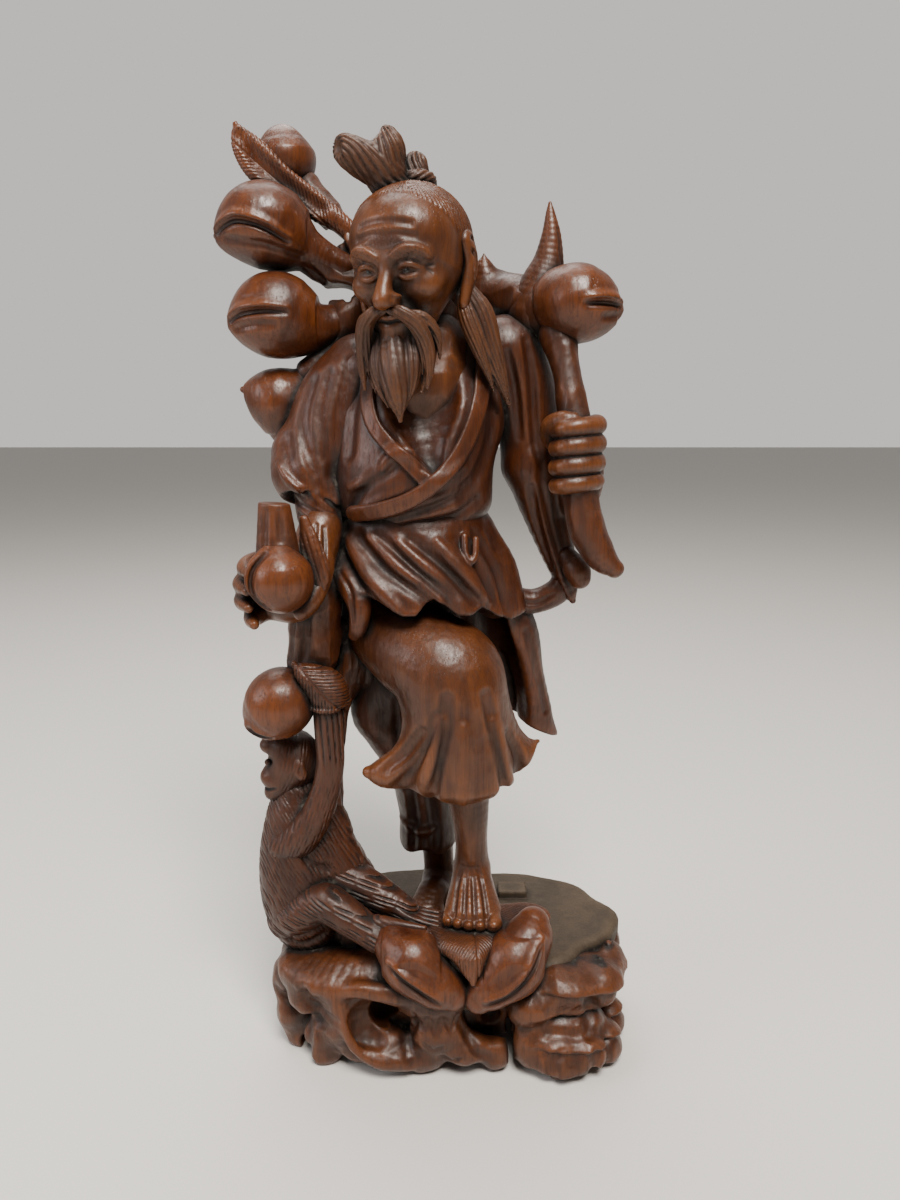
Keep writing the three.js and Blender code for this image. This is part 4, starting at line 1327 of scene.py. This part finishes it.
arm.press(
    lambda q: 0.34 * np.clip((101 - q[:, 2]) / 4, 0, 1) * hatch(
        q,
        (0.35, 0, 0.95),
        (0.9, 0.3, -0.3),
        1.1,
        4.5,
        4,
    )
)
cap = element("monkey_leaf", "monkey", FINE)
cap.add(rod([
    [-49, -24, 138.4, 1.2], [-44.6, -24, 135, 4.4, 4, 3.4], [-40, -23.4, 131.2, 6.6, 5, 5.6],
    [-38.6, -22.4, 127.6, 6.4, 5.4, 4.6],
]))
cap.add(rod([
    [-44, -22, 124, 1.6, 3, 1.4], [-38.6, -23.6, 123.6, 2.4, 4, 1.6], [-33.4, -21, 125.4, 1.6, 3, 1.4],
]), soft=0.8)
cap.press(veins((-41, -26, 131), (0.66, 0, -0.75), (0.75, 0, 0.66), 1.5, 0.55, slope=1.0))
near = element("monkey_near_leg", "monkey", FINE)
near.add(rod([
    [-55, -15, 46, 8], [-50, -20, 51, 7.6], [-42, -23.4, 56, 6.6], [-33, -26.4, 52, 5.8],
    [-24, -29.4, 47, 5.0],
]))
for i, (dx, dz) in enumerate(((0, 2.2), (1.2, 0.6), (0.6, -1.2), (-1.4, -2.6))):
    near.add(rod([
        [-24, -28.6 - 0.5 * i, 51 + dz * 0.6, 2.2],
        [-15 + dx, -31 - 0.7 * i, 50 + dz, 1.6],
        [-8.4 + dx * 1.6, -32 - 0.9 * i, 49.6 + dz, 1.0],
    ]), soft=0.5)
near.press(
    lambda q: 0.65 * np.clip((-18 - q[:, 0]) / 6, 0, 1) * hatch(
        q,
        (0.85, -0.3, -0.35),
        (0.35, -0.3, 0.9),
        1.25,
        7.0,
        5,
    )
)
far_leg = element("monkey_far_leg", "monkey", FINE)
far_leg.add(rod([
    [-40, -12, 60, 8], [-32, -14.4, 58.4, 7], [-23, -17.4, 54.6, 6], [-15, -20.4, 51.4, 4.6],
]))
for i in range(4):
    far_leg.add(rod([
        [-20, -17 - 1.6 * i, 53, 2],
        [-11, -18.4 - 2.4 * i, 50.6, 1.4],
        [-4, -19 - 2.8 * i, 49.6, 0.8],
    ]), soft=0.5)
far_leg.press(lambda q: 0.7 * hatch(q, (0.9, -0.25, -0.3), (0.3, 0, 0.95), 1.3, 8.0, 6))
trunk = element("tree_trunk", "branch")
trunk.add(rod([
    [-30, -2, 152, 7], [-31, -3, 138, 7], [-38, -5, 122, 5.6], [-40.4, -6, 108, 5.2],
    [-42, -7, 94, 5.6], [-42.6, -8, 82, 6.6], [-41, -8, 70, 8], [-36, -9, 58, 10], [-33, -9, 40, 12],
]))
trunk.add(rod([[-33, -3, 134, 7], [-26, 2, 130, 9], [-19, 6, 128, 10]]), soft=5)
trunk.press(
    lambda q: 0.4 * noise(
        stretch(q, 1, 1, 0.3),
        4,
        8,
    ) + 0.7 * scoops(stretch(q, 1, 1, 0.5), 5, 6) + 0.2 * lines(q, (0.9, 0.4, 0), 2.6, 0.8)
)

# ---- base

leaf_pad = element("standing_leaf", "base", FINE)
leaf_pad.add(rod([
    [-12, -24, 46.6, 12, 9, 3.4], [2, -27, 47.5, 14, 12, 3.4], [14, -24, 48, 14, 12, 3.4],
    [25, -20, 49, 9, 7, 3.2],
]))
leaf_pad.add(rod([
    [5, -31, 47.4, 9, 8, 3], [6, -37, 46.4, 6.5, 5, 3.4], [7, -40.6, 43, 3.6, 2.6, 3.4],
    [7.4, -42, 39.6, 1.4, 1.4, 2],
]), soft=3)
leaf_pad.keep(lambda p: p[:, 2] - 50.3 - 0.05 * p[:, 0], soft=0.8)
leaf_pad.press(
    lambda q: np.where(
        q[:, 0] < -3.4,
        veins((-11, -24, 50), (0, -1, 0), (1, 0, 0), 1.5, 0.5, 0.9)(q),
        veins((7.4, -28, 50), (0.1, -0.99, 0), (0.99, 0.1, 0), 1.3, 0.45, 1.0)(q),
    )
)
rock = element("foot_rock", "base")
rock.add(rod([[-8, -22, 42, 14, 12, 8], [6, -26, 41, 16, 13, 8], [20, -22, 41, 13, 11, 8]]))
rock.press(lambda q: 0.6 * noise(q, 7, 12) + 0.9 * scoops(q, 7, 4))

disc = element("base_disc", "disc", COARSE)


def disc_form(p):
    """Signed distance to the slab: an uneven round outline with rounded edges."""
    x, y = p[:, 0] - 0.5, p[:, 1] - 1.8
    angle = np.arctan2(y / 37.5, x / 60)
    bumps = 1.3 * np.sin(3 * angle + 0.6) + 0.9 * np.sin(7 * angle + 2.0) + 0.6 * np.sin(13 * angle)
    k0 = np.sqrt((x / 59) ** 2 + (y / 37) ** 2)
    side = (k0 - 1) * 37 / np.maximum(
        np.sqrt((x / 59) ** 2 * (37 / 59) + (y / 37) ** 2) / np.maximum(k0, 1e-3),
        0.5,
    ) - bumps
    top = 36.6 + 0.25 * np.sin(p[:, 0] * 0.11) * np.cos(p[:, 1] * 0.13)
    up = np.maximum(p[:, 2] - top, 22.5 - p[:, 2])
    outside = np.hypot(np.maximum(side + 3, 0), np.maximum(up + 3, 0))
    outside = outside + np.minimum(np.maximum(side + 3, up + 3), 0) - 3
    return np.maximum(
        outside,
        0.8 * (0.66 * p[:, 0] - 0.75 * p[:, 1] - 47 + 1.6 * np.sin(p[:, 0] * 0.35)),
    )


disc.add(region((-63, -40, 21), (64, 42, 38), disc_form))
disc.cut(ball(-25, -39, 20, 15, 13, 12), soft=1.5)
disc.add(region(
    (16, 10, 34), (31, 24, 41),
    lambda p: np.max(np.abs(p - (23.5, 17, 37)) - (5.4, 4, 2.4), axis=1),
), soft=0.6)
disc.press(
    lambda q: 0.12 * lines(q, (0.25, 0.97, 0), 2.4, 1.2, 3) * (q[:, 2] > 34) + 0.10 * noise(q, 5, 13)
)

ground = region((-90, -70, -30), (90, 70, 8), lambda p: p[:, 2])
BASE_LOBES = [
    # left and its feet, with the lotus leaf that slopes down to the front
    (-52, -4, 27, 9, 12, 8), (-55, -14, 23, 8, 9, 9), (-53, -17, 12, 8, 8, 9), (-51, -18, 4, 7, 6, 6),
    (-47, -26, 24, 8, 7, 8), (-43, -27, 9, 7, 6, 8), (-42, -27, 3, 6, 5, 5), (-44, -21, 33, 15, 11, 5),
    (-30, -25, 34, 15, 9, 5), (-17, -27, 33.6, 11, 8, 5), (-38, -29, 31.6, 15, 8, 5.6),
    (-49, -22, 30, 9, 9, 6), (-37, -30, 20, 7, 7, 13), (-28, -30, 20, 9, 6, 13),
    (-22, -31, 9, 9, 6, 6), (-52, 14, 26, 9, 9, 9), (-52, 14, 9, 8, 7, 10),
    # front
    (-6, -31, 27, 13, 9, 8), (-4, -33, 16, 10, 7, 9), (-9, -31, 6, 9, 7, 7), (5, -33, 9, 9, 6, 6),
    (15, -32, 6, 6, 5, 6), (-30, -30, 8, 7, 5, 7),
    # front right, in tiers
    (27, -32, 24, 9, 8, 8), (27, -33, 11, 7, 7, 9), (36, -36, 8, 9, 7, 9), (38, -29, 28.4, 12, 9, 8),
    (41, -21, 28.6, 18, 14, 8.2), (45, -36, 9, 8, 6, 7), (50, -24, 27.6, 9, 9, 8.6),
    (52, -27, 7, 8, 8, 8), (55.4, -13, 26, 7, 10, 10), (56, -14, 7, 7, 7, 8), (57, 2, 25, 6, 10, 8),
    (56, 6, 10, 6, 9, 10),
    # back
    (46, 21, 25, 10, 9, 8), (46, 22, 8, 8, 7, 9), (28, 30, 25, 10, 7, 8), (23, 31, 8, 8, 7, 9),
    (5, 33, 25, 11, 7, 7), (-14, 32, 25, 11, 7, 8), (-15, 31, 8, 8, 7, 9), (-35, 26, 25, 10, 8, 8),
    (-38, 26, 8, 7, 7, 9),
]
BASE_HOLLOWS = [
    # the large oval hollow and the hole behind it, then the smaller one beside the crack
    (-26, -41, 19.6, 9.2, 9.6, 11.4), (-21.6, -31, 21, 4.8, 9, 5.6), (13, -41, 18, 5.6, 8, 6.6),
    (14, -33, 17, 4.0, 8, 4.6),
    # arches under the front, the sides and the back
    (-24, -38, -1, 8, 9, 5), (3, -41, -2, 8, 7, 5), (-48, -25, -1, 3, 9, 6), (31, -42, -2, 3, 6, 6),
    (-63, -4, 9, 7, 8, 9), (66, -3, 8, 7, 5, 9), (52, 14, 4, 12, 4, 7), (35, 38, 8, 5, 8, 10),
    (5, 42, 7, 9, 10, 9), (-26, 38, 9, 6, 9, 9), (-48, 26, 6, 6, 6, 8),
]
form = Carving("base_form", "base", COARSE)
form.add(rod([[0, 0, 24, 54, 32, 9], [0, 0, 10, 48, 28, 9]], parts=1))
form.add(*[ball(*lobe) for lobe in BASE_LOBES], soft=3.0)
form.cut(*[ball(*hollow) for hollow in BASE_HOLLOWS], soft=0.7)
form.add(rod([
    [-38, -32, 31, 3.2], [-36.4, -35.4, 26, 2.3], [-34.4, -36.6, 18, 2.0], [-30.6, -37, 11, 2.0],
    [-24, -37, 7, 2.6], [-15, -36, 6.4, 4.0],
]), soft=2.4)
form.add(rod([
    [-39, -33, 30.6, 3.6], [-30, -35.6, 32.4, 3.4], [-21, -36.4, 31.8, 3.6], [-12, -35.6, 30, 4.4],
]), soft=1.6)
form.add(ball(44, -28, 16, 9, 8, 6), ball(38, -22, 14, 15, 9, 9), ball(37, -29, 18, 13, 8.4, 6), soft=3)
form.strokes("cut", [
    [(46, 28), (47, 22), (46, 17)], [(34, 12), (33, 8), (34, 2)], [(48, 13), (48, 8), (47, 2)],
], 2.8, 1.4, soft=1.2)
form.strokes("cut", [
    [(-61, 22), (-53, 19), (-46, 17), (-40, 18)], [(-49, 31), (-46, 24), (-38, 21)],
    [(-48, 17), (-48, 10), (-49, 3)],
], 3.0, 1.8, soft=1.6)
form.strokes("cut", [[(-12, 21), (-14, 13), (-12, 6)], [(4, 20), (8, 12), (14, 7)]], 2.4, 1.2, soft=1.6)
form.strokes("cut", [
    [(-44, 20), (-30, 17), (-12, 18), (8, 17), (30, 18), (44, 17)], [(14, 26), (15, 12), (14, 2)],
    [(-26, 28), (-28, 16), (-27, 4)], [(36, 26), (36, 14), (36, 3)],
], 3.4, 1.8, "back", soft=2)
form.strokes("cut", [
    [(-14, 22), (-4, 19), (8, 20), (18, 17)], [(-2, 18), (0, 9), (-1, 2)],
], 3.0, 1.6, "left", soft=2)
form.strokes("cut", [
    [(-20, 20), (-8, 17), (6, 19), (18, 17)], [(-8, 16), (-7, 8), (-8, 2)],
], 3.0, 1.6, "right", soft=2)
form.cut(region(
    (17, -60, -10), (24, -12, 17),
    lambda p: np.abs(p[:, 0] - 20.2 - 0.3 * np.sin(p[:, 2] * 0.4)) - 0.65,
), soft=0.3)
ZIGZAGS = [
    [(-12, 25), (-9.4, 18), (-7, 24.6), (-4.6, 17), (-2.2, 24.6), (0.6, 18), (3, 24.6)],
    [(-15.6, 23), (-13, 16), (-11.4, 21)], [(-9, 14), (-5.6, 11.4), (-2, 14)],
    [(-3, 9.4), (0.6, 7), (4, 9.4)],
]
form.strokes("cut", [[a, b] for path in ZIGZAGS for a, b in zip(path, path[1:])], 1.2, 0.6, soft=0.3)
# middles of the bundles of three short scratches, as seen from the front
SCRATCHED = [
    (38, 24), (43, 21.5), (35, 11), (41, 9), (47, 10), (53, 24), (56, 19), (-50, 25), (-44, 13),
    (27, 15),
]
form.strokes(
    "cut",
    [
        [(x - 2, z - 1.4 + 1.4 * row), (x + 2, z + 0.4 + 1.4 * row)]
        for x, z in SCRATCHED for row in range(3)
    ],
    0.9,
    0.36,
    soft=0.2,
)


def tiers(q):
    """The steps cut in the right side of the base: each spreads downwards and ends in a lip."""
    step = ((q[:, 2] + 0.12 * q[:, 0] + 2.2 * noise(q, 15, 5)) / 8.6) % 1
    return 1.7 * within(q, (46, -22, 16), (27, 32, 26), 0.3) * np.where(
        step < 0.86,
        step / 0.86,
        (1 - step) / 0.14,
    )


form.press(tiers)
form.press(
    lambda q: 0.3 * noise(q, 7, 21) + 0.6 * scoops(
        stretch(q, 1, 1, 0.8),
        10,
        1,
    ) + 0.22 * scoops(q, 4, 2)
)
form.press(
    lambda q: 0.24 * within(q, (-36, -26, 33), (22, 12, 7), 0.3) * lines(q, (0.8, -0.5, 0.3), 2.6, 2.4)
)
form.press(
    lambda q: 0.35 * within(q, (55, -12, 25), (9, 20, 9), 0.4) * lines(q, (0.1, 1, 0.35), 1.6, 0.5)
)
form.cut(ground, soft=0.3)
share_out(
    form,
    {
        "left_root": [(-53, 12, 16), (-54, -6, 20), (-54, -17, 14)],
        "front_left_root": [(-43, -27, 16), (-31, -32, 20), (-22, -34, 8)],
        "front_root": [(-6, -34, 18), (-8, -33, 6)],
        "crack_root": [(9, -33, 10), (13, -33, 20)],
        "front_right_root": [(30, -35, 14), (40, -34, 16)],
        "right_root": [(54, -20, 14), (58, 2, 16)],
        "rear_root": [(46, 24, 14), (24, 32, 14), (-14, 33, 14), (-38, 27, 14)],
        "base_core": [(0, -6, 16), (22, 2, 16), (-24, 2, 16)],
    },
)

CLOTH = (
    "torso",
    "jacket_skirt",
    "front_trouser",
    "rear_trouser",
    "robe_tail",
    "right_sleeve",
    "left_sleeve",
)
for carving in carvings:
    if carving.name in CLOTH:
        own_seed = 11 + CLOTH.index(carving.name)
        carving.press(lambda q, seed=own_seed: 0.14 * scoops(stretch(q, 1, 1, 0.7), 7.5, seed))

# ---------------------------------------------------------------- wood

FINISHES = {
    # slot: (crevice: dark of the painted shade in hollows, their patina and the pores; body; raised: pale
    # of the grain figure, of wear and of painted light; roughness; grain strength; grime)
    "robe": (
        (0.0024, 0.0009, 0.0006), (0.0150, 0.0029, 0.0008), (0.076, 0.0200, 0.0048), 0.29, 1.0, 0.30,
    ),
    "skin": (
        (0.0030, 0.0012, 0.0007), (0.0285, 0.0072, 0.0020), (0.114, 0.0350, 0.0088), 0.28, 0.8, 0.25,
    ),
    "hair": (
        (0.0030, 0.0014, 0.0009), (0.0160, 0.0044, 0.0016), (0.070, 0.0240, 0.0076), 0.38, 0.8, 0.45,
    ),
    "peach": (
        (0.0028, 0.0010, 0.0006), (0.0300, 0.0064, 0.0018), (0.115, 0.0320, 0.0080), 0.25, 1.0, 0.15,
    ),
    "branch": (
        (0.0024, 0.0010, 0.0007), (0.0180, 0.0044, 0.0015), (0.084, 0.0240, 0.0068), 0.31, 1.0, 0.40,
    ),
    "monkey": (
        (0.0028, 0.0014, 0.0009), (0.0145, 0.0033, 0.0009), (0.062, 0.0165, 0.0038), 0.33, 0.9, 0.50,
    ),
    "base": (
        (0.0024, 0.0012, 0.0008), (0.0190, 0.0052, 0.0019), (0.098, 0.0300, 0.0090), 0.30, 0.9, 0.45,
    ),
    "disc": (
        (0.0060, 0.0040, 0.0026), (0.0285, 0.0188, 0.0104), (0.071, 0.0480, 0.0280), 0.52, 0.7, 0.60,
    ),
}
DUST = (0.15, 0.135, 0.11)
COAT = 0.06  # varnish on the carving, none on the dull disc
COAT_ROUGHNESS = 0.30
COAT_IOR = 1.40
WOOD_IOR = 1.42


class Nodes:
    """Short ways to add and join shader nodes."""

    def __init__(self, material):
        material.use_nodes = True
        self.tree = material.node_tree
        self.tree.nodes.clear()

    def new(self, kind, inputs=(), **settings):
        node = self.tree.nodes.new(kind)
        for key, value in settings.items():
            setattr(node, key, value)
        for key, value in dict(inputs).items():
            if isinstance(value, bpy.types.NodeSocket):
                self.tree.links.new(value, node.inputs[key])
            else:
                node.inputs[key].default_value = value
        return node

    def math(self, operation, a, b=0.0, clamp=False):
        node = self.new("ShaderNodeMath", {0: a, 1: b}, operation=operation, use_clamp=clamp)
        return node.outputs[0]

    def mix(self, share, a, b):
        node = self.new("ShaderNodeMix", {0: share, 6: a, 7: b}, data_type="RGBA")
        return node.outputs[2]

    def span(self, value, low, high):
        node = self.new("ShaderNodeMapRange", {0: value, 1: low, 2: high, 3: 0.0, 4: 1.0}, clamp=True)
        return node.outputs[0]

    def noise(self, stretch, scale, detail=4.0, rough=0.55, distortion=0.0):
        place = self.new("ShaderNodeTexCoord").outputs["Object"]
        mapped = self.new("ShaderNodeMapping", {"Vector": place, "Scale": stretch}).outputs[0]
        inputs = {
            "Vector": mapped,
            "Scale": scale,
            "Detail": detail,
            "Roughness": rough,
            "Distortion": distortion,
        }
        return self.new("ShaderNodeTexNoise", inputs).outputs["Fac"]

    def mark(self, name):
        return self.new("ShaderNodeAttribute", attribute_name=name).outputs["Fac"]


def colour(rgb):
    return (*rgb, 1.0)


def wood(slot):
    """Carved and varnished hardwood: grain up the figure, painted shade and patina in the hollows with
    dust, paler worn edges and painted light on open surfaces.
    """
    deep, body, raised, rough, grain, grime = FINISHES[slot]
    material = bpy.data.materials.new("carved_wood_" + slot)
    n = Nodes(material)
    # hollow carries painted shade and patina; the second mark carries painted light on open surfaces and
    # wear on ridges
    hollow, worn_and_lit = n.mark("hollow"), n.mark("worn_and_lit")
    figure = n.noise((1, 1, 0.10), 240.0, 5.0, 0.6, 0.6)  # growth figure about 4 mm wide
    streak = n.noise((1, 1, 0.04), 1300.0, 3.0, 0.7, 0.2)  # fine fibres
    patch = n.noise((1, 1, 0.6), 34.0, 4.0)  # light and dark areas about 3 cm wide
    smoke = n.noise((1, 1, 0.8), 75.0, 3.0, 0.6, 0.5)  # stain from handling
    pores = n.noise((1, 1, 0.05), 3000.0, 2.0, 0.6)
    tool = n.noise((1, 1, 0.7), 330.0, 1.0)  # facets that the last gouge left
    level = n.math("MULTIPLY", n.span(figure, 0.34, 0.66), 0.40 * grain)
    level = n.math("ADD", level, n.math("MULTIPLY", n.span(patch, 0.36, 0.66), 0.38))
    # painted light on open surfaces and wear on ridges lift the colour towards the pale raised tone
    level = n.math("ADD", level, n.math("MULTIPLY", n.span(worn_and_lit, 0.04, 0.40), 0.65), clamp=True)
    base = n.mix(level, colour(body), colour(raised))
    base = n.mix(
        n.math("MULTIPLY", n.span(streak, 0.48, 0.70), 0.55 * grain),
        base,
        colour([c * 0.35 for c in body]),
    )
    base = n.mix(
        n.math("MULTIPLY", n.span(smoke, 0.50, 0.74), 0.45),
        base,
        colour([c * 0.5 for c in body]),
    )
    base = n.mix(n.math("MULTIPLY", n.span(pores, 0.62, 0.72), 0.50 * grain), base, colour(deep))
    # painted shade: the hollows darken towards the crevice colour, which also stands for their patina
    base = n.mix(n.math("MULTIPLY", n.span(hollow, 0.06, 0.60), 0.94), base, colour(deep))
    dust_noise = n.noise((1, 1, 1), 420.0, 4.0, 0.65)
    dust = n.math("MULTIPLY", n.span(hollow, 0.42, 0.90), n.span(dust_noise, 0.50, 0.70))
    base = n.mix(n.math("MULTIPLY", dust, grime), base, colour(DUST))
    matt = n.math(
        "ADD",
        n.math("MULTIPLY", hollow, 0.40),
        n.math("MULTIPLY", n.span(smoke, 0.3, 0.7), 0.14),
    )
    roughness = n.math("ADD", matt, n.math("MULTIPLY", n.span(streak, 0.4, 0.7), 0.10))
    roughness = n.math("ADD", roughness, rough, clamp=True)
    height = n.math(
        "SUBTRACT",
        n.math("MULTIPLY", streak, 0.5),
        n.math("MULTIPLY", n.span(pores, 0.60, 0.72), 0.7),
    )
    fine = n.new("ShaderNodeBump", {"Height": height, "Strength": 0.45, "Distance": 0.00016})
    bump = n.new(
        "ShaderNodeBump",
        {"Height": tool, "Strength": 0.55, "Distance": 0.0005, "Normal": fine.outputs[0]},
    )
    shader = n.new(
        "ShaderNodeBsdfPrincipled",
        {
            "Base Color": base,
            "Roughness": roughness,
            "Normal": bump.outputs[0],
            "IOR": WOOD_IOR,
            "Coat Weight": 0.0 if slot == "disc" else COAT,
            "Coat Roughness": COAT_ROUGHNESS,
            "Coat IOR": COAT_IOR,
        },
    )
    n.new("ShaderNodeOutputMaterial", {"Surface": shader.outputs[0]})
    return material


def eye_material():
    material = bpy.data.materials.new("inlaid_eye")
    n = Nodes(material)
    shader = n.new(
        "ShaderNodeBsdfPrincipled",
        {"Base Color": (0.010, 0.007, 0.005, 1), "Roughness": 0.30},
    )
    n.new("ShaderNodeOutputMaterial", {"Surface": shader.outputs[0]})
    return material


materials = {slot: wood(slot) for slot in FINISHES}
materials["eye"] = eye_material()

surroundings = Surroundings(carvings, blur=5.0)
with ThreadPoolExecutor(WORKERS) as pool:
    carved = list(pool.map(lambda carving: carve(carving, surroundings), carvings))
for carving, result in zip(carvings, carved):
    piece = build(carving, *result)
    piece.data.materials.append(materials[carving.slot])
    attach(piece, "root")
    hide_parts(*carving.stands_for)

# ---------------------------------------------------------------- stage

FLOOR_SIZE = 14.0
floor_mesh = bpy.data.meshes.new("floor")
h = FLOOR_SIZE / 2
floor_mesh.from_pydata([(-h, -h, 0), (h, -h, 0), (h, h, 0), (-h, h, 0)], [], [(0, 1, 2, 3)])
floor = bpy.data.objects.new("floor", floor_mesh)
bpy.context.scene.collection.objects.link(floor)
pale = bpy.data.materials.new("pale_floor")
pn = Nodes(pale)
pale_shader = pn.new(
    "ShaderNodeBsdfPrincipled",
    {"Base Color": (0.62, 0.60, 0.57, 1), "Roughness": 0.6},
)
pn.new("ShaderNodeOutputMaterial", {"Surface": pale_shader.outputs[0]})
floor_mesh.materials.append(pale)

# The room is pale behind the figure and dim in front of it, so the varnish keeps its depth.
ROOM_DIM = 0.12
ROOM_PALE = 0.76
world = bpy.data.worlds.new("studio")
bpy.context.scene.world = world
wn = Nodes(world)
direction = wn.new("ShaderNodeTexCoord").outputs["Generated"]
toward_back = wn.new("ShaderNodeSeparateXYZ", {0: direction}).outputs[1]
strength = wn.new(
    "ShaderNodeMapRange",
    {0: toward_back, 1: -0.1, 2: 0.75, 3: ROOM_DIM, 4: ROOM_PALE},
    clamp=True,
).outputs[0]
room = wn.new("ShaderNodeBackground", {"Color": (0.95, 0.91, 0.87, 1), "Strength": strength})
wn.new("ShaderNodeOutputWorld", {"Surface": room.outputs[0]})


def lamp(name, place, aim, size, power, tint):
    light = bpy.data.lights.new(name, "AREA")
    light.size = size
    light.energy = power
    light.color = tint
    lamp_object = bpy.data.objects.new(name, light)
    bpy.context.scene.collection.objects.link(lamp_object)
    lamp_object.location = place
    direction = np.array(aim) - np.array(place)
    lamp_object.rotation_euler = Vector(direction).to_track_quat("-Z", "Y").to_euler()


lamp("key", (0.16, -0.66, 1.18), (0, 0, 0.15), 0.46, 33, (1.0, 0.94, 0.87))
lamp("fill", (-0.85, -0.35, 0.55), (0, 0, 0.15), 0.5, 5, (0.98, 0.97, 1.0))
lamp("top", (-0.15, 0.35, 1.05), (0, 0, 0.1), 0.6, 7, (1.0, 0.98, 0.95))

CAMERA_PLACE = (0.0, -297.7, 213.6)  # drawn mm, from the middle of the base
CAMERA_DOWN = 11.31  # degrees
camera_data = bpy.data.cameras.new("camera")
camera = bpy.data.objects.new("camera", camera_data)
bpy.context.scene.collection.objects.link(camera)
camera_data.lens = 27
camera_data.sensor_width = 36
camera.location = np.array(CAMERA_PLACE) * MM + ORIGIN
camera.rotation_euler = (math.radians(90 - CAMERA_DOWN), 0, 0)
camera_data.clip_start = 0.01
bpy.context.scene.camera = camera
